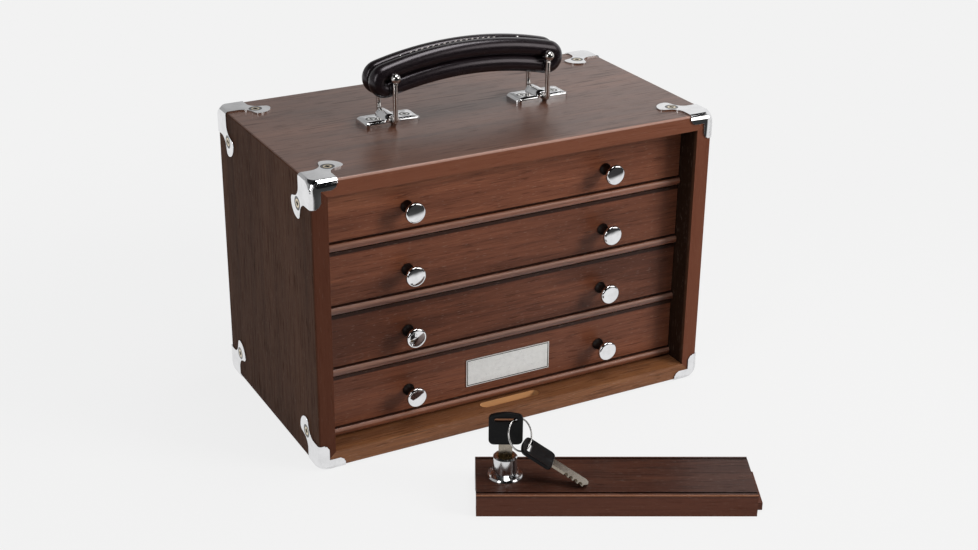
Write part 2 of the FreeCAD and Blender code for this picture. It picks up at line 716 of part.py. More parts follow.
def knob_bores(name, knob_z):
    """Holes through a drawer front for the two knob screws."""
    bores = []
    for hand, sign in (("left", "-"), ("right", "")):
        bore = doc.addObject("Part::Cylinder", f"{name}_{hand}_bore")
        bore.setExpression("Radius", bound("knob_screw / 2 + screw_clear"))
        bore.setExpression("Height", bound("front_thick + 2"))
        bore.Placement.Rotation = Rotation(Z_AXIS, Y_AXIS)
        bore.setExpression("Placement.Base.x", bound(f"{sign}knob_spread / 2"))
        bore.setExpression("Placement.Base.y", bound(f"{FACE_Y} - 1"))
        bore.setExpression("Placement.Base.z", bound(knob_z))
        bores.append(bore)
    return gathered(name + "_bores", bores)


def knob():
    """A knob pointing up, with a bore for its screw."""
    head, neck, foot = number("knob_head / 2"), number("knob_neck / 2"), number("knob_foot / 2")
    out, rim = number("knob_out"), number("knob_rim")
    under, edge, pole = out - rim, number("knob_edge"), number("pole_flat")
    foot_top, flare_low = number("knob_foot_high"), under - number("knob_flare")
    crown_low = out - number("knob_crown")
    places = [(0, 0), (foot, 0), (neck, foot_top), (neck, flare_low), (head, under),
              (head, crown_low - edge), (head - edge, crown_low), (pole, out), (0, out)]
    rises = [0, number("-knob_foot_curve"), 0, number("knob_flare_curve"), 0,
             number("-knob_edge_curve"), number("-knob_crown_curve"), 0, 0]
    corners = [Vector(radius, 0, high) for radius, high in places]
    profile = [joined(start, end, rise)
               for start, end, rise in zip(corners, corners[1:] + corners[:1], rises)]
    solid = Part.Face(Part.Wire(profile)).revolve(Vector(0, 0, 0), Z_AXIS, 360)
    bore = number("knob_screw / 2 + screw_clear")
    return solid.cut(Part.makeCylinder(bore, number("knob_screw_bite + knob_screw_room")))


def knob_screw():
    """The pan-head screw behind a knob, its head below the drawer front."""
    shank, head = number("knob_screw / 2"), number("knob_screw_head / 2")
    back, edge = -number("front_thick"), number("knob_screw_edge")
    top, tip = back - number("knob_screw_high"), number("knob_screw_bite")
    return turned([(0, top), (head - edge, top), (head, top + edge), (head, back),
                   (shank, back), (shank, tip), (0, tip)], Vector(0, 0, 0), Z_AXIS)


def knobs(name, knob_z):
    """The two knobs of a drawer with their screws."""
    pieces = []
    for side in (-1, 1):
        place = Placement(Vector(side * number("knob_spread / 2"), number(FACE_Y), knob_z),
                          Rotation(Z_AXIS, -Y_AXIS))
        pieces += [moved(knob(), place), moved(knob_screw(), place)]
    shaped(name + "_knobs", Part.makeCompound(pieces))


def nameplate():
    """A thin bare plate on the lowest drawer front."""
    half, middle = "nameplate_length / 2", f"({drawer_low(0)} + nameplate_lift)"
    plate = box("plate", (f"(nameplate_shift - {half})", f"(nameplate_shift + {half})"),
                (f"({FACE_Y} - nameplate_thick)", FACE_Y),
                (f"({middle} - nameplate_height / 2)", f"({middle} + nameplate_height / 2)"))
    node(plate, "nameplate")


# Handle

def handle_plate(hand, sign):
    """A plate with clipped corners and a half-round saddle over the bail's lower run."""
    half_x, half_y = "mount_length / 2", "mount_width / 2"
    body, pad = padded(hand + "_mount", "XY_Plane", [
        (f"-{half_x} + mount_clip", f"-{half_y}"), (f"{half_x} - mount_clip", f"-{half_y}"),
        (half_x, f"-{half_y} + mount_clip"), (half_x, f"{half_y} - mount_clip"),
        (f"{half_x} - mount_clip", half_y), (f"-{half_x} + mount_clip", half_y),
        (f"-{half_x}", f"{half_y} - mount_clip"), (f"-{half_x}", f"-{half_y} + mount_clip"),
    ], "mount_thick", midplane=False)
    top = number("mount_thick")
    rounded(body, pad, "mount_round", lambda b: b.ZMin > top - 0.01)
    radius, high = number("saddle_width / 2"), number("saddle_height")
    run, soft = number("mount_width - 2 * saddle_inset"), number("saddle_round")
    shift = number("(bail_spread - mount_spread) / 2") * sign
    arch = Part.makeCylinder(radius, run, Vector(shift, -run / 2, high - radius), Y_AXIS)
    ends = [edge for edge in arch.Edges if edge.BoundBox.YLength < 0.001]
    arch = arch.makeFillet(soft, ends)
    foot = Part.makeBox(2 * radius, run - 2 * soft, high - radius,
                        Vector(shift - radius, soft - run / 2, 0))
    above = Part.makeBox(4 * radius, run, high, Vector(shift - 2 * radius, -run / 2, 0))
    saddle = doc.addObject("Part::Feature", hand + "_saddle")
    saddle.Shape = arch.fuse(foot).common(above)
    lift, play = number("bail_lift"), number("wire / 2 + wire_clear")
    tunnel = Part.makeCylinder(play, 2 * run, Vector(shift, -run, lift), Y_AXIS)
    below = Part.makeBox(2 * play, 2 * run, lift, Vector(shift - play, -run, 0))
    tools = [tunnel, below]
    origin = Vector(sign * number("mount_spread / 2"), 0, number(WOOD_HIGH))
    for place in plate_screw_places():
        if place.Base.x * sign > 0:
            tools.append(screw_hole(Placement(place.Base - origin, Rotation())))
    removed = doc.addObject("Part::Feature", hand + "_mount_tools")
    removed.Shape = Part.makeCompound(tools)
    plate = cut(hand + "_mount_cut", fused(hand + "_mount_whole", [body, saddle]), removed)
    plate.Placement = Placement(origin, Rotation())
    node(plate, "handle_plate_" + hand)


def bail():
    """A wire bail, its lower run on the hinge axis and its two flat eyes above."""
    half, reach, bend = number("bail_width / 2"), number("bail_reach"), number("bail_bend")
    radius, eye, thick = number("wire / 2"), number("bail_eye / 2"), number("bail_eye_thick")
    slant = bend * (1 - math.sqrt(0.5))
    top = reach - number("bail_eye_bite")
    path = Part.Wire([
        Part.makeLine(Vector(0, -half, top), Vector(0, -half, bend)),
        Part.Arc(Vector(0, -half, bend), Vector(0, slant - half, slant),
                 Vector(0, bend - half, 0)).toShape(),
        Part.makeLine(Vector(0, bend - half, 0), Vector(0, half - bend, 0)),
        Part.Arc(Vector(0, half - bend, 0), Vector(0, half - slant, slant),
                 Vector(0, half, bend)).toShape(),
        Part.makeLine(Vector(0, half, bend), Vector(0, half, top)),
    ])
    ring = Part.Wire(Part.makeCircle(radius, Vector(0, -half, top), Z_AXIS))
    solid = path.makePipeShell([ring], True, False)
    hole = number("rivet_pin / 2 + wire_clear")
    removed = [Part.makeCylinder(hole, 4 * half, Vector(0, -2 * half, reach), Y_AXIS)]
    for side in (-1, 1):
        start = Vector(0, side * half - thick / 2, reach)
        solid = solid.fuse(Part.makeCylinder(eye, thick, start, Y_AXIS))
        for y in (side * half - thick / 2 - eye, side * half + thick / 2):
            removed.append(Part.makeBox(2 * eye, eye, 2 * eye, Vector(-eye, y, top - eye)))
    return solid.cut(Part.makeCompound(removed)).removeSplitter()


def grip():
    """The padded grip: an arched bar of four rolls with round ends."""
    arch, half, wide = number("grip_arch"), number("grip_height / 2"), number("grip_width")
    cap = number("grip_cap / 2")
    middle = number(f"{PIVOT_HIGH} + grip_rise")
    centre = Vector(0, -wide / 2, middle - arch)
    angle = math.asin(cap / arch)

    def on_arc(radius, turn):
        return centre + Vector(radius * math.sin(turn), 0, radius * math.cos(turn))

    def end(sign):
        outward = Vector(sign * math.cos(angle), 0, -math.sin(angle))
        return on_arc(arch, sign * angle) + outward * half

    inner, outer = arch - half, arch + half
    edges = [
        Part.Arc(on_arc(outer, -angle), on_arc(outer, 0), on_arc(outer, angle)).toShape(),
        Part.Arc(on_arc(outer, angle), end(1), on_arc(inner, angle)).toShape(),
        Part.Arc(on_arc(inner, angle), on_arc(inner, 0), on_arc(inner, -angle)).toShape(),
        Part.Arc(on_arc(inner, -angle), end(-1), on_arc(outer, -angle)).toShape(),
    ]
    solid = Part.Face(Part.Wire(edges)).extrude(Y_AXIS * wide)
    flat = [edge for edge in solid.Edges if edge.BoundBox.YLength < 0.001]
    solid = solid.makeFillet(number("grip_round"), flat)

    def groove(radius, y, reach):
        turn = math.asin(reach / 2 / radius)
        shift = Y_AXIS * (y + wide / 2)
        ends = [on_arc(radius, part * turn) + shift for part in (-1, 0, 1)]
        path = Part.Wire(Part.Arc(*ends).toShape())
        along = Vector(math.cos(turn), 0, math.sin(turn))
        ring = Part.Wire(Part.makeCircle(number("seam_radius"), ends[0], along))
        return path.makePipeShell([ring], True, False)

    out, valley = number("seam_out"), arch - number("valley_drop")
    length = number("valley_length")
    seam_length = number("grip_cap")
    grooves = [
        groove(valley, -wide / 2 - out, length), groove(valley, wide / 2 + out, length),
        groove(outer + out, 0, seam_length), groove(inner - out, 0, seam_length),
    ]
    spread = number("bail_spread / 2")
    pin = number("rivet_pin / 2 + screw_clear")
    bores = [Part.makeCylinder(pin, 2 * wide, Vector(side * spread, -wide, number(PIVOT_HIGH)),
                               Y_AXIS) for side in (-1, 1)]
    return solid.cut(Part.makeCompound(grooves)).cut(Part.makeCompound(bores))


def rivet():
    """A rivet along Y through the grip and both eyes, with a domed head at each end."""
    pin, head, high = number("rivet_pin / 2"), number("rivet_head / 2"), number("rivet_head_high")
    inner = number("bail_width / 2 + bail_eye_thick / 2 + rivet_head_gap")
    solid = Part.makeCylinder(pin, 2 * inner + high, Vector(0, -inner - high / 2, 0), Y_AXIS)
    pole = number("pole_flat")
    for side in (-1, 1):
        root, tip = side * inner, side * (inner + high)
        dome = [
            Part.makeLine(Vector(0, root, 0), Vector(head, root, 0)),
            Part.Arc(Vector(head, root, 0),
                     Vector(head * number("dome_out"), root + side * high * number("dome_up"), 0),
                     Vector(pole, tip, 0)).toShape(),
            Part.makeLine(Vector(pole, tip, 0), Vector(0, tip, 0)),
            Part.makeLine(Vector(0, tip, 0), Vector(0, root, 0)),
        ]
        solid = solid.fuse(Part.Face(Part.Wire(dome)).revolve(Vector(0, 0, 0), Y_AXIS, 360))
    return solid.removeSplitter()


def handle():
    """Plates, bails, rivets and the grip."""
    axis_high = number(f"{WOOD_HIGH} + bail_lift")
    for hand, sign in (("left", -1), ("right", 1)):
        handle_plate(hand, sign)
        x = sign * number("bail_spread / 2")
        shaped("bail_" + hand, moved(bail(), Placement(Vector(x, 0, axis_high), Rotation())))
        pivot = Placement(Vector(x, 0, number(PIVOT_HIGH)), Rotation())
        shaped(hand + "_rivet", moved(rivet(), pivot))
    shaped("grip", grip())


# Lock bar, modelled along X with its inner face on the floor, and its lock

def bar_place():
    """Where the bar lies on the floor."""
    return Placement(Vector(number("bar_x"), number("bar_y"), -number("metal_sheet")),
                     Rotation(Z_AXIS, number("bar_turn")))


def lock_bar():
    """The bar with a bead along both edges, a tongue, and the pocket behind the lock."""
    inner_bead = "(bar_width - bar_bead)"
    low = "(bar_thick - bar_quirk)"
    body, pad = padded("bar_blank", "YZ_Plane", [
        ("0", "0"), ("bar_width", "0"), ("bar_width", "bar_thick"),
        (inner_bead, "bar_thick"), (inner_bead, low), (f"{inner_bead} - bar_quirk", low),
        (f"{inner_bead} - bar_quirk", "bar_thick"), ("bar_bead + bar_quirk", "bar_thick"),
        ("bar_bead + bar_quirk", low), ("bar_bead", low), ("bar_bead", "bar_thick"),
        ("0", "bar_thick"),
    ], "bar_length", midplane=False)
    thick, wide = number("bar_thick"), number("bar_width")
    rounded(body, pad, "bar_round", lambda b: b.XLength > 1 and b.ZMin > thick - 0.01
            and (b.YMax < 0.01 or b.YMin > wide - 0.01))
    edge = "(bar_width / 2 - tongue_width / 2)"
    tongue = box("tongue", ("(bar_length - 1)", "(bar_length + tongue_length)"),
                 (edge, f"({edge} + tongue_width)"),
                 ("tongue_low", "(tongue_low + tongue_thick)"))
    room = "(cam_width / 2 + cam_play)"
    far = "(cam_reach + cam_play)"
    below = ("-1", "pocket_depth")
    sweep = upright("cam_sweep", far, ("lock_inset", "lock_offset"), below)
    sweep.Angle = 90
    sweep.Placement.Rotation = Rotation(Z_AXIS, 180)
    tools = fused("lock_room", [
        upright("lock_bore", "thread / 2 + lock_clear", ("lock_inset", "lock_offset"),
                ("-1", "(bar_thick + 1)")),
        upright("nut_room", "nut_flats / 2 / cos(30) + nut_play",
                ("lock_inset", "lock_offset"), below),
        sweep,
        box("cam_room_end", (f"(lock_inset - {far})", "lock_inset"),
            ("lock_offset", f"(lock_offset + {room})"), below),
        box("cam_room_front", ("lock_inset", f"(lock_inset + {room})"),
            (f"(lock_offset - {far})", "lock_offset"), below),
    ])
    bar = cut("bar_cut", fused("bar_whole", [body, tongue]), tools)
    bar.Placement = bar_place()
    node(bar, "lock_bar")


def lock():
    """Barrel, nut, plug, cam and the cam's screw."""
    axis = Placement(Vector(number("lock_inset"), number("lock_offset"), 0), Rotation())
    place = bar_place().multiply(axis)
    face, top = number("bar_thick"), number("bar_thick + barrel_high")
    barrel, flange = number("barrel / 2"), number("flange / 2")
    thread, plug = number("thread / 2"), number("plug / 2")
    low, high, edge = number("barrel_low"), number("flange_high"), number("barrel_edge")
    origin = Vector(0, 0, 0)
    housing = turned([
        (0, low), (thread, low), (thread, face), (flange, face),
        (flange, face + number("flange_edge")), (flange - number("flange_bevel"), face + high),
        (barrel + number("flange_cove"), face + number("flange_dish")), (barrel, face + high),
        (barrel, top - edge), (barrel - edge, top), (0, top),
    ], origin, Z_AXIS)
    bore = Part.makeCylinder(plug + number("plug_clear"), top + 2)
    shaped("lock_housing", moved(housing.cut(bore), place))

    nut_high = number("pocket_depth")
    first = Vector(number("nut_flats / 2") / math.cos(math.pi / 6), 0,
                   nut_high - number("nut_thick"))
    corners = [Rotation(Z_AXIS, 60 * side).multVec(first) for side in range(6)]
    nut = Part.Face(Part.makePolygon(corners + corners[:1])).extrude(
        Z_AXIS * number("nut_thick"))
    nut = nut.cut(Part.makeCylinder(thread + number("lock_clear"), nut_high + 1))
    shaped("lock_nut", moved(nut, place))

    plug_low = number("plug_low")
    keyway = Part.makeBox(number("blade_width + 2 * blade_clear"),
                          number("blade_thick + 2 * blade_clear"),
                          number("blade_inside + blade_clear") + 1)
    keyway.translate(Vector(number("-blade_width / 2 - blade_clear"),
                            number("-blade_thick / 2 - blade_clear"),
                            top - number("blade_inside + blade_clear")))
    cylinder = Part.makeCylinder(plug, top - plug_low, Vector(0, 0, plug_low))
    bite = number("cam_screw_bite")
    screw = number("cam_screw / 2")
    screw_room = Part.makeCylinder(screw + number("screw_clear"),
                                   bite + number("cam_screw_room"), Vector(0, 0, plug_low))
    shaped("lock_plug", moved(cylinder.cut(keyway).cut(screw_room), place))

    reach, wide, thick = number("cam_reach"), number("cam_width"), number("cam_thick")
    cam_low = plug_low - thick
    cam = Part.makeBox(wide, reach - wide / 2, thick, Vector(-wide / 2, wide / 2 - reach, cam_low))
    cam = cam.multiFuse([
        Part.makeCylinder(wide / 2, thick, Vector(0, wide / 2 - reach, cam_low)),
        Part.makeCylinder(wide / 2, thick, Vector(0, 0, cam_low))])
    hole = Part.makeCylinder(screw + number("screw_clear"), thick + 2, Vector(0, 0, cam_low - 1))
    shaped("lock_cam", moved(cam.removeSplitter().cut(hole), place))

    head, bevel = number("cam_screw_head / 2"), number("cam_screw_edge")
    lowest = cam_low - number("cam_screw_high")
    screw_shape = turned([
        (0, lowest), (head - bevel, lowest), (head, lowest + bevel), (head, cam_low),
        (screw, cam_low), (screw, plug_low + bite), (0, plug_low + bite),
    ], origin, Z_AXIS)
    shaped("cam_screw", moved(screw_shape, place))


# Keys and their ring, each key modelled with its head's lower edge at the origin,
# its blade pointing down and its flat sides facing along Y

def key_blade():
    """A notched blade with a tang that goes into the head."""
    half, long, thick = number("blade_width / 2"), number("blade_long"), number("blade_thick")
    notch, tang = number("blade_notch"), number("tang_width / 2")
    point, blunt, beside = number("blade_point"), number("blade_tip"), number("blade_cut_half")
    slope = half - blunt
    points = [(-half, 0), (-half, point - long), (point - half, -long), (blunt, -long),
              (half, slope - long - blunt)]
    for step in range(int(number("blade_cuts"))):
        low = number("blade_first_cut") + number("blade_cut_step") * step - long
        points += [(half, low - beside), (half - notch, low), (half, low + beside)]
    points += [(half, 0), (tang, 0), (tang, number("tang_long")), (-tang, number("tang_long")),
               (-tang, 0)]
    corners = [Vector(x, -thick / 2, z) for x, z in points]
    return Part.Face(Part.makePolygon(corners + corners[:1])).extrude(Y_AXIS * thick)


def key_head():
    """A flat head with rounded corners and a slot for the ring."""
    half, high, thick = number("key_width / 2"), number("key_high"), number("key_thick")
    crown = number("key_crown")
    start = Vector(half, -thick / 2, high - crown)
    stop = Vector(-half, -thick / 2, high - crown)
    edges = [
        Part.makeLine(Vector(-half, -thick / 2, 0), Vector(half, -thick / 2, 0)),
        Part.makeLine(Vector(half, -thick / 2, 0), start),
        Part.Arc(start, Vector(0, -thick / 2, high), stop).toShape(),
        Part.makeLine(stop, Vector(-half, -thick / 2, 0)),
    ]
    solid = Part.Face(Part.Wire(edges)).extrude(Y_AXIS * thick)
    uprights = [edge for edge in solid.Edges if edge.BoundBox.YLength > thick - 0.001]
    solid = solid.makeFillet(number("key_round"), uprights)
    flat = [edge for edge in solid.Edges if edge.BoundBox.YLength < 0.001]
    solid = solid.makeFillet(number("key_edge"), flat)
    tang = number("tang_width / 2")
    room = Part.makeBox(2 * tang, number("blade_thick"), number("tang_long"),
                        Vector(-tang, number("-blade_thick / 2"), 0))
    slot_half, slot_high = number("key_slot_long / 2"), number("key_slot_high / 2")
    middle = number("key_slot_lift")
    end = slot_half - slot_high
    slot = Part.makeBox(2 * end, 2 * thick, 2 * slot_high,
                        Vector(-end, -thick, middle - slot_high))
    rounds = [Part.makeCylinder(slot_high, 2 * thick, Vector(side * end, -thick, middle), Y_AXIS)
              for side in (-1, 1)]
    return solid.cut(room).cut(slot.multiFuse(rounds))


def key_places():
    """The key in the lock, and the spare key that hangs on the ring, in the bar's frame."""
    high = number("bar_thick + barrel_high + blade_long - blade_inside")
    first = Placement(Vector(number("lock_inset"), number("lock_offset"), high), Rotation())
    towards_top, across = Vector(*SPARE_UP), Vector(*SPARE_ACROSS)
    turn = Rotation(across, towards_top.cross(across), towards_top, "XYZ")
    shift = turn.multVec(Vector(0, 0, number("key_slot_lift")))
    return first, Placement(first.Base + Vector(*SPARE_SLOT) - shift, turn)


# The ring and the spare key, from the lower edge of the first key's head: where the
# ring's middle is, two directions in its plane, and the slot and directions of the spare key

RING_CENTRE = (10.329, -2.805, 9.316)
RING_DOWN = (0.4324, -0.1403, -0.8907)
RING_BACK = (0.5852, 0.7952, 0.1588)
SPARE_SLOT = (16.856, -5.674, 0.172)
SPARE_ACROSS = (-0.1951, -0.977, 0.0858)
SPARE_UP = (-0.843, 0.2118, 0.4945)


def keys():
    """Two keys on a ring: one in the lock, the other hanging with its tip on the bar."""
    for prefix, place in zip(("key", "spare_key"), key_places()):
        placed = bar_place().multiply(place)
        shaped(prefix + "_blade", moved(key_blade(), placed))
        shaped(prefix + "_head", moved(key_head(), placed))
    normal = Vector(*RING_DOWN).cross(Vector(*RING_BACK)).normalize()
    ring = Part.makeTorus(number("ring_radius"), number("ring_wire / 2"), Vector(0, 0, 0), Z_AXIS)
    centre = key_places()[0].Base + Vector(*RING_CENTRE)
    place = bar_place().multiply(Placement(centre, Rotation(Z_AXIS, normal)))
    shaped("key_ring", moved(ring, place))


wooden_case()
metal_corners()
screws()
for place_in_stack in range(int(number("drawer_count"))):
    drawer(place_in_stack)
nameplate()
handle()
lock_bar()
lock()
keys()

doc.recompute()
for item in doc.Objects:
    if "Invalid" in item.State or "Error" in item.State:
        raise RuntimeError(f"{item.Name} failed: {item.State}")
for item in nodes:
    if item.Shape.isNull() or not item.Shape.isValid():
        raise RuntimeError(f"{item.Label} has no valid shape")

os.makedirs("parts", exist_ok=True)
for item in nodes:
    item.Shape.exportStep(f"parts/{item.Label}.step")
    print(item.Label, len(item.Shape.Solids), round(item.Shape.Volume, 2))
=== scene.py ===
import math

import bmesh
import bpy
from mathutils import Euler, Matrix, Vector


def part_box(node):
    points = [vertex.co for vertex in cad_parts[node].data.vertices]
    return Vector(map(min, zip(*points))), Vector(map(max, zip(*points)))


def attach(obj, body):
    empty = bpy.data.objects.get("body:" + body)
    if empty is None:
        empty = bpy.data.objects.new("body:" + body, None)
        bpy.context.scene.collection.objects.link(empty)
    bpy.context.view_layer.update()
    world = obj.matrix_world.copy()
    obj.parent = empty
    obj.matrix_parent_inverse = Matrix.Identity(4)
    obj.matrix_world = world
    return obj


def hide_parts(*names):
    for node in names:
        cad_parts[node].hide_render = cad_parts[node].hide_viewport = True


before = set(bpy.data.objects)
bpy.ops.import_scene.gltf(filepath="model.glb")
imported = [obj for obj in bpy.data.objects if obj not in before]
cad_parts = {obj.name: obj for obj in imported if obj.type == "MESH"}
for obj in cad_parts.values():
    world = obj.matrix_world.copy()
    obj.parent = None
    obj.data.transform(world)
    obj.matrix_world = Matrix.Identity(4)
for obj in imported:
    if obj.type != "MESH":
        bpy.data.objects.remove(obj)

# The portable drawer chest in metres: X right, Y back, Z up from the wooden case's underside.
# Sizes of pieces are written in millimetres and turned into metres where they are used.
# The finishes read Object coordinates, so their places are written in metres.

MM = 0.001
FLOOR = -1.0
FACE_Y = -74.0
DRAWER_LOWS = (14.0, 65.0, 116.0, 167.0)
KNOB_UP = 25.0
KNOB_SPREAD = 86.0
BAR_CORNER = (-94.1, -202.1)
BAR_TURN = math.radians(-27.02)

# Where the finishes change, in metres
HALF_WIDTH, HALF_HEIGHT = 0.170, 0.116
CORNER_SCREW_OUT, CORNER_SCREW_DEEP, CORNER_SCREW_RISE = 0.147, 0.072, 0.093
STRIP_ROLL, PLATE_ROLL = 0.0062, 0.0070
ROLL_SWELL = 0.8
PLATE_MIDDLE, PLATE_HALF_LENGTH, PLATE_HALF_WIDTH = 0.0665, 0.02325, 0.01135
PLATE_SCREWS_MIDDLE, PLATE_SCREW_OUT = 0.066, 0.014
SLOT_Y = -0.08205

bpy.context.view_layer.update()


# Modelling helpers

def point(*place):
    """A place in millimetres as a vector in metres."""
    return Vector(place) * MM


def fresh():
    """Object mode with nothing selected."""
    if bpy.context.object and bpy.context.object.mode != "OBJECT":
        bpy.ops.object.mode_set(mode="OBJECT")
    bpy.ops.object.select_all(action="DESELECT")


def only(piece):
    """This piece alone is selected and active."""
    fresh()
    piece.select_set(True)
    bpy.context.view_layer.objects.active = piece


def started(name, operator, **settings):
    """A primitive in edit mode, all of it selected."""
    fresh()
    operator(**settings)
    piece = bpy.context.object
    piece.name = piece.data.name = name
    bpy.ops.object.transform_apply(location=True, rotation=True, scale=True)
    bpy.ops.object.mode_set(mode="EDIT")
    bpy.ops.mesh.select_mode(type="VERT")
    bpy.ops.mesh.select_all(action="SELECT")
    return piece


def pick(piece, kind, wanted):
    """Select the faces, edges or vertices of the edited piece that pass the test."""
    bpy.ops.mesh.select_all(action="DESELECT")
    bpy.ops.mesh.select_mode(type=kind)
    mesh = bmesh.from_edit_mesh(piece.data)
    parts = {"FACE": mesh.faces, "EDGE": mesh.edges, "VERT": mesh.verts}[kind]
    for part in parts:
        part.select_set(bool(wanted(part)))
    mesh.select_flush_mode()
    bmesh.update_edit_mesh(piece.data)


def closed_up(distance=0.00001):
    """Merge doubles of the edited piece and turn its faces outwards."""
    bpy.ops.mesh.select_all(action="SELECT")
    bpy.ops.mesh.remove_doubles(threshold=distance)
    bpy.ops.mesh.normals_make_consistent(inside=False)
    bpy.ops.object.mode_set(mode="OBJECT")


def with_modifier(piece, kind, **settings):
    """Add a modifier, set it and apply it."""
    only(piece)
    modifier = piece.modifiers.new(kind.lower(), kind)
    for name, value in settings.items():
        setattr(modifier, name, value)
    bpy.ops.object.modifier_apply(modifier=modifier.name)


def softened(piece, degrees):
    """Smooth shading with sharp edges above an angle, and large faces kept flat."""
    only(piece)
    if piece.data.has_custom_normals:
        bpy.ops.mesh.customdata_custom_splitnormals_clear()
    bpy.ops.object.shade_smooth()
    bpy.ops.object.mode_set(mode="EDIT")
    bpy.ops.mesh.select_mode(type="EDGE")
    bpy.ops.mesh.select_all(action="SELECT")
    bpy.ops.mesh.mark_sharp(clear=True)
    bpy.ops.mesh.select_all(action="DESELECT")
    bpy.ops.mesh.edges_select_sharp(sharpness=math.radians(degrees))
    bpy.ops.mesh.mark_sharp()
    bpy.ops.object.mode_set(mode="OBJECT")
    with_modifier(piece, "WEIGHTED_NORMAL", keep_sharp=True, weight=50)


def lathe(name, profile, steps):
    """A turned piece about Z from (radius, height) points in millimetres."""
    piece = started(name, bpy.ops.mesh.primitive_plane_add, size=0.01)
    bpy.ops.mesh.merge(type="CENTER")
    first = point(profile[0][0], 0, profile[0][1])
    bpy.ops.transform.translate(value=first)
    for (radius, high), (next_radius, next_high) in zip(profile, profile[1:]):
        step = point(next_radius - radius, 0, next_high - high)
        bpy.ops.mesh.extrude_region_move(TRANSFORM_OT_translate={"value": step})
    bpy.ops.mesh.select_all(action="SELECT")
    bpy.ops.mesh.spin(steps=steps, angle=2 * math.pi, center=(0, 0, 0), axis=(0, 0, 1))
    closed_up(0.000004)
    only(piece)
    bpy.ops.object.shade_smooth_by_angle(angle=math.radians(45))
    return piece


def copied(piece, name, matrix):
    """A copy with its own mesh moved by a matrix, its object at the origin."""
    twin = piece.copy()
    twin.data = piece.data.copy()
    twin.name = twin.data.name = name
    bpy.context.collection.objects.link(twin)
    twin.data.transform(matrix)
    twin.data.update()
    return twin


def joined(name, pieces):
    """Several pieces as one object."""
    fresh()
    for piece in pieces:
        piece.select_set(True)
    bpy.context.view_layer.objects.active = pieces[0]
    bpy.ops.object.join()
    pieces[0].name = pieces[0].data.name = name
    return pieces[0]


def dressed(piece, finish, body, slot, *nodes):
    """Give the piece its finish and body, and hide the nodes it stands for. The slot is not used.
    """
    piece.data.materials.clear()
    piece.data.materials.append(finish)
    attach(piece, body)
    if nodes:
        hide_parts(*nodes)


def polished_copy(node, finish, body, slot, degrees, bevel=0, rim=None):
    """A merged copy of a rigid node with smooth rounded faces.

    Edges over an angle in degrees stay sharp. Bevel is a width, and rim the width and depth
    of a sunk face inside a raised rim, in millimetres.
    """
    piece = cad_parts[node].copy()
    piece.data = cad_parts[node].data.copy()
    piece.parent = None
    for key in list(piece.keys()):
        del piece[key]
    piece.name = piece.data.name = node + "_dressed"
    bpy.context.collection.objects.link(piece)
    only(piece)
    bpy.ops.object.mode_set(mode="EDIT")
    bpy.ops.mesh.select_all(action="SELECT")
    bpy.ops.mesh.remove_doubles(threshold=0.000002)
    if rim:
        broad = max(piece.data.polygons, key=lambda face: face.area).normal.copy()
        pick(piece, "FACE", lambda face: abs(face.normal.dot(broad)) > 0.999)
        width, depth = rim
        bpy.ops.mesh.inset(thickness=width * MM, depth=-depth * MM)
    bpy.ops.object.mode_set(mode="OBJECT")
    if bevel:
        with_modifier(piece, "BEVEL", width=bevel * MM, segments=2, limit_method="ANGLE",
                      angle_limit=math.radians(50))
    softened(piece, degrees)
    dressed(piece, finish, body, slot, node)


# Shader helpers

class Link:
    """A socket that takes arithmetic; each operation adds a Math node."""

    def __init__(self, finish, socket):
        self.finish = finish
        self.socket = socket

    def math(self, operation, other=None, swapped=False):
        values = [self, other] if not swapped else [other, self]
        return self.finish.add("Math", {"operation": operation}, values[:1 if other is None else 2])

    def __add__(self, other): return self.math("ADD", other)
    def __sub__(self, other): return self.math("SUBTRACT", other)
    def __mul__(self, other): return self.math("MULTIPLY", other)
    def __truediv__(self, other): return self.math("DIVIDE", other)
    def __radd__(self, other): return self.math("ADD", other)
    def __rsub__(self, other): return self.math("SUBTRACT", other, True)
    def __rmul__(self, other): return self.math("MULTIPLY", other)
    def __pow__(self, other): return self.math("POWER", other)
    def high(self, other): return self.math("MAXIMUM", other)
    def low(self, other): return self.math("MINIMUM", other)
    def size(self): return self.math("ABSOLUTE")
    def floor(self): return self.math("FLOOR")

    def within(self, low, high, soft=0.0001):
        """One between two values, zero outside."""
        return self.between(low - soft, low) * self.between(high, high + soft, 1.0, 0.0)

    def out(self, name):
        """Another output of the same node."""
        return Link(self.finish, self.socket.node.outputs[name])

    def parts(self):
        """The three parts of a vector."""
        first = self.finish.add("SeparateXYZ", None, [self])
        return first, first.out("Y"), first.out("Z")

    def between(self, low, high, out_low=0.0, out_high=1.0):
        """Smoothly from one value to another while this goes from low to high."""
        values = {"Value": self, "From Min": low, "From Max": high,
                  "To Min": out_low, "To Max": out_high}
        return self.finish.add("MapRange", {"interpolation_type": "SMOOTHSTEP"}, values)


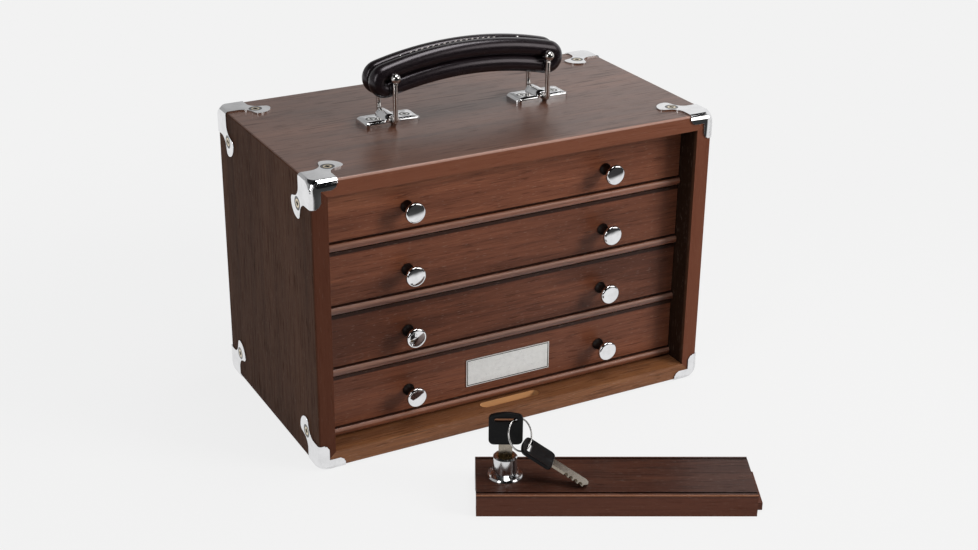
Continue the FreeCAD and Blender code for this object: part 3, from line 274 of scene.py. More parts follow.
class Nodes:
    """A node tree and short ways to add to it."""

    def __init__(self, tree):
        self.tree = tree

    def put(self, socket, value):
        """Link a socket or set its value."""
        if isinstance(value, Link):
            self.tree.links.new(value.socket, socket)
        elif value is not None:
            socket.default_value = value

    def add(self, kind, settings=None, values=(), output=0):
        """A node of a kind, its settings, then the values or links of its inputs."""
        node = self.tree.nodes.new("ShaderNode" + kind)
        for name, value in (settings or {}).items():
            if name == "stops":
                self.stops(node.color_ramp, value)
            else:
                setattr(node, name, value)
        if isinstance(values, dict):
            for name, value in values.items():
                self.put(node.inputs[name], value)
        else:
            for socket, value in zip(node.inputs, values):
                self.put(socket, value)
        return Link(self, node.outputs[output])

    def stops(self, ramp, stops):
        """Place the stops of a colour ramp."""
        while len(ramp.elements) < len(stops):
            ramp.elements.new(0.5)
        for element, (place, colour) in zip(ramp.elements, stops):
            element.position = place
            element.color = (*colour, 1.0)

    def place(self, scale=(1, 1, 1), turn=(0, 0, 0), shift=(0, 0, 0), here=None):
        """Object coordinates, turned and shifted, then scaled."""
        here = here or self.add("TexCoord", output=3)
        local = self.add("Mapping", {"vector_type": "POINT"},
                         {"Vector": here, "Location": shift, "Rotation": turn})
        return self.add("Mapping", {"vector_type": "POINT"}, {"Vector": local, "Scale": scale})

    def noise(self, vector, scale, detail, rough, distortion=0.0):
        """Values of a noise texture."""
        return self.add("TexNoise", None, {"Vector": vector, "Scale": scale, "Detail": detail,
                                           "Roughness": rough, "Distortion": distortion})

    def ramp(self, value, stops, blending="LINEAR"):
        """A colour ramp over a value."""
        colour = self.add("ValToRGB", {"stops": stops}, [value])
        colour.socket.node.color_ramp.interpolation = blending
        return colour

    def mixed(self, factor, first, second):
        """Two colours mixed."""
        node = self.tree.nodes.new("ShaderNodeMix")
        node.data_type = "RGBA"
        self.put(node.inputs[0], factor)
        for socket, value in ((node.inputs[6], first), (node.inputs[7], second)):
            self.put(socket, (*value, 1.0) if isinstance(value, tuple) else value)
        return Link(self, node.outputs[2])

    def bump(self, height, strength, distance, under=None):
        """A bump from a height, over another bump if there is one."""
        return self.add("Bump", None, {"Strength": strength, "Distance": distance,
                                       "Height": height, "Normal": under})


class Finish(Nodes):
    """A procedural material round one Principled shader."""

    def __init__(self, name, **constants):
        self.material = bpy.data.materials.new(name)
        self.material.use_nodes = True
        super().__init__(self.material.node_tree)
        self.shader = next(n for n in self.tree.nodes if n.type == "BSDF_PRINCIPLED")
        self.set(**constants)

    def set(self, **inputs):
        """Set or link the shader's inputs, spaces in their names written as underscores."""
        for name, value in inputs.items():
            if isinstance(value, tuple) and len(value) == 3:
                value = (*value, 1.0)
            self.put(self.shader.inputs[name.replace("_", " ")], value)


def srgb(red, green, blue):
    """A colour as written on screen, in linear light."""
    return tuple((c / 255 / 12.92 if c <= 10 else ((c / 255 + 0.055) / 1.055) ** 2.4)
                 for c in (red, green, blue))


# Finishes

WOOD_DUST = (0.42, 0.33, 0.28)
# Painted shade on metal, also the dark of screw recesses
METAL_SHADE_DARK = (0.03, 0.028, 0.026)
SCUFF = (0.12, 0.12, 0.12)
GROOVE_DARK = (0.012, 0.012, 0.012)
BOARD_SHIFT = (0.37, 0.23, 0.71)
GRAIN_AND_SHADE_TONE = 0.16


def stained_wood(name, dark, middle, light, along="X", turn=0.0, shift=(0, 0, 0), cross=1.0,
                 lines=0.5, flecks=0.12, rough=0.42, specular=0.3, boards=None, shade=None,
                 tones_and_painted_light=(), coat=None):
    """Open-grained wood, stained and rubbed to a satin: fibres, figure, pores along the grain.

    Boards are stacked from a height at a pitch and each has its own figure and tone. Shade
    says where shade is painted, as dark as the stain in the pores. The other tones paint bare
    wood, and light and shade on some faces and edges. Coat says where it is waxed.
    """
    finish = Finish(name, Specular_IOR_Level=specular, Coat_Roughness=0.3)
    here = finish.add("TexCoord", output=3)
    x, y, z = here.parts()
    rise, tone = z, 0.5
    if boards:
        low, pitch, tones = boards
        index = ((z - low) / pitch).floor()
        rise = z - low - index * pitch
        offset = finish.add("CombineXYZ", None, [index * shift_by for shift_by in BOARD_SHIFT])
        here = finish.add("VectorMath", {"operation": "ADD"}, [here, offset])
        count = len(tones)
        levels = [(number / count, (value,) * 3) for number, value in enumerate(tones)]
        tone = finish.ramp(index / count + 0.02, levels, "CONSTANT") * 1.0
    angles = (0, math.radians(90), 0) if along == "Z" else (0, 0, turn)

    def grain(length, width, detail=2.0, rough=0.5, bend=0.0, extra=0.0):
        """Noise drawn out along the grain; scales per metre along and across it."""
        move = tuple(value + extra for value in shift)
        return finish.noise(finish.place((length, width, width), angles, move, here),
                            1.0, detail, rough, bend)

    broad = grain(2.4, 15)
    figure = grain(3.0, 70 * cross, 3.0, 0.55, 0.9)
    fibre = grain(15, 420 * cross, 3.0, 0.6, 0.2)
    hair = grain(34, 1500, 2.0, 0.5)
    streak = grain(22, 400 * cross, 2.0, 0.5, 0.2).between(0.56, 0.66)
    pore = grain(48, 1000, 1.5).between(0.58, 0.68)
    dust = grain(170, 1500, 1.5, extra=0.4).between(0.62, 0.74)
    gate = broad.between(0.38, 0.56, 0.25, 1.0)
    tone = (broad - 0.5) * 0.9 + (figure - 0.5) * 0.55 + tone
    tone = tone + (fibre - 0.5) * 0.5 + (hair - 0.5) * 0.4
    colour = finish.ramp(tone, [(0.12, dark), (0.5, middle), (0.88, light)])
    grain_and_shade = (pore * 0.45).high(streak * gate * lines)
    # Painted shade joins the dark stain of the pores and streaks
    if shade:
        grain_and_shade = grain_and_shade.high(shade(x, y, z, rise))
    stained = finish.mixed(grain_and_shade, colour, tuple(c * GRAIN_AND_SHADE_TONE for c in dark))
    stained = finish.mixed(dust * flecks, stained, WOOD_DUST)
    # Other tones: bare wood, and painted light and shade on some faces and edges
    for mask, other in tones_and_painted_light:
        stained = finish.mixed(mask(x, y, z), stained, other)
    roughness = (hair - 0.5) * 0.12 + pore * 0.25 + streak * gate * (lines * 0.4) + rough
    if coat:
        finish.set(Coat_Weight=coat(x, y, z))
    height = 0.5 * hair + 0.3 * fibre - pore * 0.8 - streak * gate * (lines * 0.8)
    finish.set(Base_Color=stained, Roughness=roughness.low(0.9).high(0.1),
               Normal=finish.bump(height, 0.25, 0.00014))
    return finish.material


def polished_metal(name, colour=(0.82, 0.82, 0.83), rough=0.07, wave=0.05, swell=0.0,
                   dimmed=None, dull=0.0, curved=None, glancing=1.0):
    """Bright plated metal with faint smudges, ripples and pressed surfaces that swell.

    Dimmed says where the metal is painted dark, as painted shade and in screw recesses, dull
    how rough it is there, and curved how far a pressed face bulges. Glancing is the strength
    of the reflection at a flat angle.
    """
    finish = Finish(name, Metallic=1.0, Specular_Tint=(glancing,) * 3)
    film = finish.noise(finish.place(), 130.0, 4.0, 0.6)
    ripple = finish.noise(finish.place(), 260.0, 1.0, 0.5)
    bulge = finish.noise(finish.place(), 55.0, 0.0, 0.5)
    x, y, z = finish.add("TexCoord", output=3).parts()
    tint = finish.mixed(film.between(0.35, 0.75), colour, tuple(c * 0.9 for c in colour))
    if dimmed:
        # Painted shade and the dark of screw recesses, where dimmed says
        tint = finish.mixed(dimmed(x, y, z), tint, METAL_SHADE_DARK)
    shape = finish.bump(curved(x, y, z), 1.0, 1.0) if curved else None
    rough = rough + (film - 0.4).high(0.0) * 0.05
    if dull:
        rough = rough + dimmed(x, y, z) * dull
    finish.set(Base_Color=tint, Roughness=rough,
               Normal=finish.bump(ripple * wave + bulge * swell, 1.0, 0.0002, shape))
    return finish.material


# Masks of a place in metres; a shade also takes the height within its board

def apart(first, second):
    """Distance from two offsets at right angles."""
    return (first * first + second * second) ** 0.5


def corner_screw_distance(x, y, z):
    """Distance from the axis of the nearest corner screw."""
    across, deep = x.size() - CORNER_SCREW_OUT, y.size() - CORNER_SCREW_DEEP
    high = (z - HALF_HEIGHT).size() - CORNER_SCREW_RISE
    return apart(across, deep).low(apart(deep, high))


def plate_screw_distance(x, y, z):
    """Distance from the axis of the nearest screw of a handle plate."""
    return apart((x.size() - PLATE_SCREWS_MIDDLE).size() - PLATE_SCREW_OUT, y)


def corner_countersink_shade(x, y, z):
    """Painted shade in the countersink round each corner screw."""
    return corner_screw_distance(x, y, z).within(0.0035, 0.0051, 0.0004) * 0.92


def plate_countersink_shade(x, y, z):
    """Painted shade in the countersink round each plate screw."""
    return plate_screw_distance(x, y, z).within(0.0030, 0.0042, 0.0004) * 0.9


def corner_cross(x, y, z):
    """Darker in the cross recess and round the rim of a corner screw."""
    away = corner_screw_distance(x, y, z)
    return away.between(0.0014, 0.0024, 0.95, 0.0).high(away.between(0.0029, 0.0034) * 0.8)


def plate_cross(x, y, z):
    """Darker in the cross recess and round the rim of a plate screw."""
    away = plate_screw_distance(x, y, z)
    return away.between(0.0010, 0.0018, 0.9, 0.0).high(away.between(0.0025, 0.0030) * 0.8)


def rolled_over(from_edge, roll):
    """Height of a face that rolls over within a distance of its edge."""
    away = from_edge.high(0.0).low(roll)
    return (away - away * away / (2 * roll)) * ROLL_SWELL


def rolled_strip(x, y, z):
    """Height of a front or back strip that rolls over towards the case's edges."""
    side = HALF_WIDTH - x.size()
    level = HALF_HEIGHT - (z - HALF_HEIGHT).size()
    return rolled_over(side.low(level), STRIP_ROLL) * y.size().between(0.0952, 0.0956)


def rolled_plate(x, y, z):
    """Height of a handle plate that rolls over towards its edges."""
    end = PLATE_HALF_LENGTH - (x.size() - PLATE_MIDDLE).size()
    return rolled_over(end.low(PLATE_HALF_WIDTH - y.size()), PLATE_ROLL)


def knob_neck_shade(x, y, z):
    """Painted shade on the necks, which stand in the dark behind the heads."""
    return y.between(-0.0884, -0.0878) * 0.96


def brushed_metal(name, colour, rough, along):
    """Metal with fine lines one way and darker wear in patches.

    Along is the scale of the lines per metre on X, Y and Z.
    """
    finish = Finish(name, Metallic=1.0)
    lines = finish.noise(finish.place(along), 1.0, 2.0, 0.7)
    wear = finish.noise(finish.place(), 300.0, 4.0, 0.6)
    tint = finish.mixed(wear.between(0.4, 0.7), colour, tuple(c * 0.85 for c in colour))
    finish.set(Base_Color=tint, Roughness=rough + (lines - 0.5) * 0.2,
               Normal=finish.bump(lines, 0.15, 0.0001))
    return finish.material


def grained_leather(name, colour, mark):
    """Black hide: small pebbles, fine creases, darker in the creases and lighter on the crests, a
    joint across one roll.

    Mark is the joint's X, and the height that it ends at, in metres.
    """
    finish = Finish(name, Specular_IOR_Level=0.5, Specular_Tint=(1.0, 0.92, 0.98))
    cells = finish.add("TexVoronoi", {"feature": "F1", "distance": "EUCLIDEAN"},
                       {"Vector": finish.place(), "Scale": 1300.0, "Randomness": 0.9})
    crease = finish.noise(finish.place((1, 1.6, 1.6)), 420.0, 4.0, 0.65, 0.6)
    broad = finish.noise(finish.place(), 60.0, 2.0, 0.5)
    x, y, z = finish.add("TexCoord", output=3).parts()
    along, top = mark
    joint = (x + (crease - 0.5) * 0.0012 - along).size().between(0.0002, 0.0007, 1.0, 0.0)
    joint = joint * z.between(top - 0.0005, top + 0.0005, 1.0, 0.0)
    tint = finish.mixed(crease.between(0.3, 0.75), tuple(c * 0.7 for c in colour),
                        tuple(c * 1.4 for c in colour))
    height = cells * 0.3 + crease * 0.6 - joint * 2.5
    finish.set(Base_Color=tint, Roughness=0.25 + (broad - 0.5) * 0.08 + (crease - 0.5) * 0.06,
               Normal=finish.bump(height, 0.045, 0.0002))
    return finish.material


def moulded_plastic(name, colour):
    """Moulded plastic with a faint orange-peel surface and light scuffs."""
    finish = Finish(name, Specular_IOR_Level=0.12)
    peel = finish.noise(finish.place(), 900.0, 2.0, 0.5)
    scuff = finish.noise(finish.place((1, 1, 5)), 350.0, 4.0, 0.7)
    tint = finish.mixed(scuff.between(0.55, 0.75) * 0.1, colour, SCUFF)
    finish.set(Base_Color=tint, Roughness=0.3 + scuff.between(0.5, 0.8) * 0.2,
               Normal=finish.bump(peel, 0.08, 0.0001))
    return finish.material


def engraved_plate(name, colour, low, high, line):
    """A satin plate with a dark line round its face.

    Low and high are the plate's corners, and line where the line starts and ends, in
    millimetres from the edge.
    """
    finish = Finish(name, Metallic=1.0)
    x, y, z = finish.add("TexCoord", output=3).parts()
    from_side = (x - (low.x + high.x) / 2).size() * -1.0 + (high.x - low.x) / 2
    from_edge = (z - (low.z + high.z) / 2).size() * -1.0 + (high.z - low.z) / 2
    line_start, line_end = line
    groove = from_side.low(from_edge).within(line_start * MM, line_end * MM)
    lines = finish.noise(finish.place((40, 40, 2600)), 1.0, 2.0, 0.7)
    wear = finish.noise(finish.place(), 240.0, 4.0, 0.65)
    tint = finish.mixed(wear.between(0.4, 0.75), colour, tuple(c * 0.9 for c in colour))
    tint = finish.mixed(groove, tint, GROOVE_DARK)
    finish.set(Base_Color=tint, Roughness=0.3 + (lines - 0.5) * 0.2 + groove * 0.4,
               Normal=finish.bump(lines + wear * 0.5, 0.12, 0.0001))
    return finish.material


def twisted_thread(name, colour):
    """Waxed sewing thread, two plies twisted."""
    finish = Finish(name, Roughness=0.6)
    twist = finish.add("TexWave", {"wave_type": "BANDS", "bands_direction": "DIAGONAL"},
                       {"Vector": finish.place(), "Scale": 900.0, "Distortion": 1.0}, 1)
    tint = finish.mixed(twist, tuple(c * 0.55 for c in colour), colour)
    finish.set(Base_Color=tint, Normal=finish.bump(twist, 0.5, 0.0001))
    return finish.material


def felt(name, colour):
    """Matted wool: short crossed fibres and soft blotches."""
    finish = Finish(name, Sheen_Weight=0.4, Sheen_Roughness=0.5, Specular_IOR_Level=0.2)
    fibre = finish.noise(finish.place((1, 4, 1)), 1400.0, 3.0, 0.7, 1.2)
    cross = finish.noise(finish.place((4, 1, 1)), 1400.0, 3.0, 0.7, 1.2)
    blotch = finish.noise(finish.place(), 90.0, 3.0, 0.6)
    wool = fibre.high(cross)
    tint = finish.mixed(wool.between(0.35, 0.75), tuple(c * 0.55 for c in colour),
                        tuple(c * 1.25 for c in colour))
    tint = finish.mixed(blotch.between(0.4, 0.7) * 0.3, tint, tuple(c * 0.6 for c in colour))
    finish.set(Base_Color=tint, Roughness=0.92, Normal=finish.bump(wool, 0.6, 0.0004))
    return finish.material


def front_shade(x, y, z, rise):
    """Painted shade in the groove over the bead and along a drawer front's edges."""
    groove = rise.within(0.0064, 0.0076, 0.0003)
    return (groove.high(rise.between(0.0466, 0.0476)).high(rise.between(0.0002, 0.001, 1.0, 0.0))
            * 0.9)


def inner_shade(x, y, z, rise):
    """Painted shade on the frame's inner walls, which stand away from the light."""
    return x.size().between(0.15725, 0.1572, 0.0, 1.0) * y.between(-0.0935, -0.09) * 0.75


def left_stile_painted_shade(x, y, z):
    """Painted shade on the front edge of the left side."""
    return y.between(-0.0948, -0.0942, 1.0, 0.0) * x.between(-0.1, 0.1, 0.75, 0.0)


def right_stile_painted_light(x, y, z):
    """Painted light on the front edge of the right side, which is lit from the right."""
    return y.between(-0.0948, -0.0942, 1.0, 0.0) * x.between(-0.1, 0.1, 0.0, 0.7)


def front_rail_painted_tone(x, y, z):
    """The front edge of the top board, painted redder than its top to show how it is lit."""
    return y.between(-0.0946, -0.0938, 1.0, 0.0) * 0.7


def top_arris_highlight(x, y, z):
    """Painted highlight along the front arris of the top board."""
    return y.between(-0.0942, -0.0936, 1.0, 0.0) * z.within(0.2303, 0.232, 0.0002) * 0.35


def top_coat(x, y, z):
    """The top board's upper face is waxed."""
    return z.between(0.2302, 0.2312) * 0.55


def bar_coat(x, y, z):
    """The bar's upper face is waxed."""
    return z.between(0.0150, 0.0160) * 0.2


def bar_edges_painted_tone(x, y, z):
    """The bar's edges, painted redder than its upper face to show how they are lit."""
    return z.between(0.0138, 0.0150, 0.6, 0.0)


def on_bead(y, z, low, high):
    """Between two heights over the lower edge of a drawer front, on the bead alone."""
    start, pitch = DRAWER_LOWS[0] * MM, (DRAWER_LOWS[1] - DRAWER_LOWS[0]) * MM
    rise = z - start - ((z - start) / pitch).floor() * pitch
    return rise.within(low, high, 0.0006) * y.between(-0.0758, -0.0750, 1.0, 0.0)


def bead_highlight(x, y, z):
    """Painted highlight along the crowns of the drawers' beads."""
    return on_bead(y, z, 0.0042, 0.0058) * 0.25


def bead_coat(x, y, z):
    """The beads are polished by hands and dusters."""
    return on_bead(y, z, 0.0006, 0.0062)


def slot_worn(x, y, z):
    """The slot for the tongue is cut into bare wood."""
    inside = x.size().between(0.0264, 0.0266, 1.0, 0.0) * z.within(0.0066, 0.0128, 0.0001)
    return inside * (y - SLOT_Y).size().between(0.0044, 0.0046, 1.0, 0.0) * 0.8


def bar_place(x, y):
    """Along and across the lock bar, from its front left corner."""
    right, back = x - BAR_CORNER[0] * MM, y - BAR_CORNER[1] * MM
    cosine, sine = math.cos(BAR_TURN), math.sin(BAR_TURN)
    return right * cosine + back * sine, back * cosine - right * sine


def bar_shade(x, y, z, rise):
    """Painted shade in the grooves beside the bar's beads."""
    across = bar_place(x, y)[1]
    front, back = across.within(0.0031, 0.0045, 0.0003), across.within(0.0500, 0.0514, 0.0003)
    return front.high(back) * z.between(0.0145, 0.015) * 0.95


def bar_bead_highlight(x, y, z):
    """Painted highlight along the front bead."""
    across = bar_place(x, y)[1]
    return across.between(0.0009, 0.0012, 1.0, 0.0) * z.between(0.0156, 0.0160) * 0.55


# The top board gets a painted tone on its front edge and a painted highlight on its arris
TOP_WOOD = stained_wood("top_wood", srgb(58, 37, 28), srgb(84, 55, 42), srgb(106, 72, 56),
                        shift=(0.3, 0.1, 0.2), lines=0.6, cross=1.1, rough=0.36, specular=0.15,
                        tones_and_painted_light=((front_rail_painted_tone, srgb(98, 55, 37)), (top_arris_highlight, (0.45, 0.3, 0.25))),
                        coat=top_coat)
# The sides get painted shade on the left stile and the inner walls, and painted light on the right
# stile
SIDE_WOOD = stained_wood("side_wood", srgb(50, 32, 22), srgb(72, 48, 36), srgb(90, 62, 47),
                         along="Z", shift=(0.1, 0.7, 0.4), lines=0.25, cross=1.1, rough=0.58,
                         specular=0.03, shade=inner_shade,
                         tones_and_painted_light=((left_stile_painted_shade, srgb(64, 34, 24)), (right_stile_painted_light, srgb(94, 54, 40))))
EDGE_WOOD = stained_wood("bottom_wood", srgb(68, 41, 24), srgb(98, 61, 37), srgb(126, 84, 51),
                         shift=(0.9, 0.2, 0.5), lines=0.5, rough=0.45, specular=0.25,
                         tones_and_painted_light=((slot_worn, srgb(186, 140, 96)),))
# The drawer fronts get painted shade in the grooves and gaps, and painted highlights on the beads
FRONT_WOOD = stained_wood("drawer_front_wood", srgb(66, 36, 24), srgb(100, 58, 40),
                          srgb(138, 86, 60), shift=(0.2, 0.4, 0.9), lines=0.16, flecks=0.14,
                          rough=0.36, specular=0.2, shade=front_shade,
                          tones_and_painted_light=((bead_highlight, (0.32, 0.19, 0.14)),), coat=bead_coat,
                          boards=(0.014, 0.051, (0.46, 0.18, 0.35, 0.52)))
TRAY_WOOD = stained_wood("drawer_box_wood", srgb(120, 88, 58), srgb(160, 122, 84),
                         srgb(186, 150, 108), shift=(0.6, 0.3, 0.1), lines=0.15, rough=0.6)
PANEL_WOOD = stained_wood("back_panel_wood", srgb(50, 32, 23), srgb(70, 46, 34),
                          srgb(88, 60, 45), shift=(0.4, 0.9, 0.3), lines=0.25, rough=0.5)
# The bar gets painted shade in its grooves, a painted tone on its edges and a painted highlight on
# its front bead
BAR_WOOD = stained_wood("lock_bar_wood", srgb(36, 20, 14), srgb(56, 32, 24), srgb(76, 47, 35),
                        turn=-BAR_TURN, shift=(0.5, 0.8, 0.2), lines=0.4, rough=0.36,
                        specular=0.12, shade=bar_shade, coat=bar_coat,
                        tones_and_painted_light=((bar_edges_painted_tone, srgb(84, 46, 32)), (bar_bead_highlight, (0.22, 0.085, 0.035))))
# The corner plates get painted shade in their countersinks
CORNER_METAL = polished_metal("corner_plate", rough=0.06, swell=4.0, dimmed=corner_countersink_shade,
                              curved=rolled_strip)
# The handle plates get painted shade in their countersinks
PLATE_METAL = polished_metal("handle_plate", rough=0.1, swell=2.5, dimmed=plate_countersink_shade,
                             curved=rolled_plate)
WIRE_METAL = polished_metal("bail_wire", (0.7, 0.68, 0.66), rough=0.1)
# The knob necks get painted shade
KNOB_METAL = polished_metal("knob_plate", rough=0.04, wave=0.02, dimmed=knob_neck_shade, dull=0.35,
                            glancing=0.3)
LOCK_METAL = polished_metal("lock_plate", (0.72, 0.72, 0.73), rough=0.15, wave=0.03)
RING_METAL = polished_metal("ring_steel", (0.55, 0.54, 0.53), rough=0.24)
SCREW_METAL = polished_metal("corner_screw", (0.75, 0.64, 0.46), rough=0.14,
                             dimmed=corner_cross)
NICKEL_METAL = polished_metal("plate_screw", (0.8, 0.79, 0.77), rough=0.12,
                              dimmed=plate_cross)
NAME_METAL = engraved_plate("bare_plate", (0.74, 0.73, 0.71), *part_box("nameplate"), (0.75, 1.3))
PLUG_METAL = brushed_metal("plug_brass", (0.6, 0.43, 0.2), rough=0.25, along=(500, 500, 500))
CAM_METAL = brushed_metal("zinc_plate", (0.55, 0.56, 0.57), rough=0.4, along=(80, 80, 80))
BLADE_METAL = brushed_metal("key_blade", (0.32, 0.28, 0.23), rough=0.24, along=(60, 900, 900))
LEATHER = grained_leather("black_leather", (0.006, 0.004, 0.005), (0.0352, 0.2745))
KEY_PLASTIC = moulded_plastic("key_head_plastic", (0.003, 0.003, 0.0033))
THREAD = twisted_thread("grey_thread", (0.42, 0.39, 0.37))
LINER_FELT = felt("drawer_felt", srgb(48, 66, 50))


# Angles in degrees over which an edge stays sharp
WOOD_EDGE, BOX_EDGE, METAL_EDGE, WIRE_EDGE = 50, 30, 35, 45


# Wooden pieces keep their nodes' shapes

for node, finish in (("case_top", TOP_WOOD), ("case_bottom", EDGE_WOOD),
                     ("case_left_side", SIDE_WOOD), ("case_right_side", SIDE_WOOD)):
    polished_copy(node, finish, "case", "case_wood", WOOD_EDGE)
polished_copy("back_panel", PANEL_WOOD, "case", "panel_wood", BOX_EDGE, bevel=0.3)
for node in ("left_runners", "right_runners"):
    polished_copy(node, TRAY_WOOD, "case", "runner_wood", BOX_EDGE)
for number in range(1, 5):
    body = f"drawer_{number}"
    polished_copy(body + "_front", FRONT_WOOD, body, "front_wood", WOOD_EDGE)
    for part in ("sides", "back", "bottom"):
        polished_copy(f"{body}_{part}", TRAY_WOOD, body, "drawer_wood", BOX_EDGE)
    polished_copy(body + "_liner", LINER_FELT, body, "felt", BOX_EDGE)
polished_copy("lock_bar", BAR_WOOD, "lock_bar", "bar_wood", WOOD_EDGE)


# Metal corners, plates, screws and wires

for level in ("top", "bottom"):
    for row in ("front", "back"):
        for hand in ("left", "right"):
            polished_copy(f"{row}_{level}_{hand}_corner", CORNER_METAL, "case",
                          "corner_metal", METAL_EDGE, bevel=0.25)
polished_copy("corner_screws", SCREW_METAL, "case", "screw_steel", METAL_EDGE)
polished_copy("plate_screws", NICKEL_METAL, "case", "screw_steel", METAL_EDGE)
for hand in ("left", "right"):
    polished_copy("handle_plate_" + hand, PLATE_METAL, "case", "plate_metal", METAL_EDGE,
                  bevel=0.25)
    polished_copy("bail_" + hand, WIRE_METAL, "bail_" + hand, "bail_metal", WIRE_EDGE)
    polished_copy(hand + "_rivet", WIRE_METAL, "grip", "bail_metal", WIRE_EDGE)


# Knobs: turned once and copied; the profile is (radius, height over the drawer front)

KNOB_PROFILE = [(0, -0.2), (4.8, -0.2), (4.8, 0.3), (4.75, 0.9), (4.3, 1.9), (3.85, 3.0),
                (3.7, 3.6), (3.7, 8.6), (3.9, 9.8), (4.7, 11.4), (6.1, 12.9), (7.4, 13.7),
                (7.85, 13.95), (8.0, 14.25), (8.0, 15.3), (7.85, 15.95), (7.4, 16.45),
                (6.4, 16.62), (4.5, 16.8), (2.2, 16.93), (0, 17)]
knob = lathe("knob", KNOB_PROFILE, steps=64)
outwards = Euler((math.radians(90), 0, 0)).to_matrix().to_4x4()
for number, low in enumerate(DRAWER_LOWS, start=1):
    pair = []
    for side in (-1, 1):
        place = Matrix.Translation(point(side * KNOB_SPREAD, FACE_Y, low + KNOB_UP)) @ outwards
        pair.append(copied(knob, f"drawer_{number}_knob_{side}", place))
    dressed(joined(f"drawer_{number}_turned_knobs", pair), KNOB_METAL, f"drawer_{number}",
            "knob_metal", f"drawer_{number}_knobs")
bpy.data.objects.remove(knob)


# Bare plate with a raised border, a groove inside it and a level field

PLATE_BORDER, GROOVE_SIDE, PLATE_BEVEL = 0.0008, 0.00018, 0.00006
low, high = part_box("nameplate")
plate = started("bordered_plate", bpy.ops.mesh.primitive_cube_add, size=1,
                location=(low + high) / 2, scale=high - low)
pick(plate, "FACE", lambda face: face.normal.y < -0.9)
bpy.ops.mesh.inset(thickness=PLATE_BORDER)
bpy.ops.mesh.inset(thickness=GROOVE_SIDE, depth=-0.00015)
bpy.ops.mesh.inset(thickness=GROOVE_SIDE, depth=0.00012)
closed_up()
with_modifier(plate, "BEVEL", width=PLATE_BEVEL, segments=2, limit_method="ANGLE")
softened(plate, BOX_EDGE)
dressed(plate, NAME_METAL, "drawer_1", "nameplate_metal", "nameplate")


# Leather grip: half a section, with its two upper rolls, carried once round the rivets.
# The arch is the radius of the middle line, the cap half the way between the round ends, the
# roll the radius of the padding, out and up from the middle line.

ARCH = 280.0
GRIP_CAP = 70.5
GRIP_MIDDLE = 275.7
ROLL_OUT, ROLL_UP, ROLL = 6.1, 6.5, 7.0
VALLEY_OUT = 7.0
SEAM_DEEP = 8.6
ARCH_STEPS, END_STEPS = 36, 18
TACK_UP = 12.6


def half_section():
    """The outline over two rolls, from one side valley over the top seam to the other."""
    turns = [math.radians(angle) for angle in (-70.4, -62, -50, -30, -8, 16, 42, 68, 92, 114, 132)]
    side = [(ROLL_OUT + ROLL * math.cos(t), ROLL_UP + ROLL * math.sin(t)) for t in turns]
    side += [(0.5, SEAM_DEEP + 0.3), (0, SEAM_DEEP)]
    side[0] = (VALLEY_OUT, 0)
    return [(-y, up) for y, up in side] + side[-2::-1]


HALF_SECTION = half_section()


def on_arch(turn, up=0.0, y=0.0):
    """A place beside the grip's curved middle line."""
    centre = GRIP_MIDDLE - ARCH
    return point((ARCH + up) * math.sin(turn), y, centre + (ARCH + up) * math.cos(turn))


def leather_grip():
    """The padded grip as one closed skin."""
    grip = started("leather_grip_skin", bpy.ops.mesh.primitive_plane_add, size=0.01)
    bpy.ops.mesh.merge(type="CENTER")
    turn = math.asin(GRIP_CAP / ARCH)
    slope = Vector((math.sin(turn), 0, math.cos(turn)))
    base = on_arch(turn)
    first = base + slope * HALF_SECTION[0][1] * MM + Vector((0, HALF_SECTION[0][0] * MM, 0))
    bpy.ops.transform.translate(value=first)
    for (y, up), (next_y, next_up) in zip(HALF_SECTION, HALF_SECTION[1:]):
        step = slope * (next_up - up) * MM + Vector((0, (next_y - y) * MM, 0))
        bpy.ops.mesh.extrude_region_move(TRANSFORM_OT_translate={"value": step})
    bpy.ops.mesh.select_all(action="SELECT")
    arch_centre = point(0, 0, GRIP_MIDDLE - ARCH)
    left = on_arch(-turn)
    bpy.ops.mesh.spin(steps=ARCH_STEPS, angle=2 * turn, center=arch_centre, axis=(0, 1, 0))
    bpy.ops.mesh.spin(steps=END_STEPS, angle=math.pi, center=left, axis=(0, 1, 0))
    bpy.ops.mesh.spin(steps=ARCH_STEPS, angle=-2 * turn, center=arch_centre, axis=(0, 1, 0))
    bpy.ops.mesh.spin(steps=END_STEPS, angle=math.pi, center=base, axis=(0, 1, 0))
    closed_up(0.00003)
    with_modifier(grip, "SUBSURF", levels=2, render_levels=2)
    only(grip)
    bpy.ops.object.shade_smooth()
    return grip


grip = leather_grip()
dressed(grip, LEATHER, "grip", "leather", "grip")


# Stitches: one modelled and copied along the top seam and the side valleys

def stitched(name, rows):
    """Thread stitches along rows, each (start, stop, spacing, height over the middle, Y, slant)."""
    stitch = started("stitch", bpy.ops.mesh.primitive_uv_sphere_add, segments=8, ring_count=6,
                     radius=0.0005)
    bpy.ops.transform.resize(value=(3.4, 1, 0.8))
    bpy.ops.object.mode_set(mode="OBJECT")
    bpy.ops.object.shade_smooth()
    stitches = []
    for start, stop, spacing, up, y, slant in rows:
        for step in range(int((stop - start) / spacing) + 1):
            turn = (start + spacing * step) / ARCH
            matrix = (Matrix.Translation(on_arch(turn, up, y * MM))
                      @ Matrix.Rotation(turn, 4, "Y") @ Matrix.Rotation(slant, 4, "Z"))
            stitches.append(copied(stitch, "one_stitch", matrix))
    bpy.data.objects.remove(stitch)
    return joined(name, stitches)


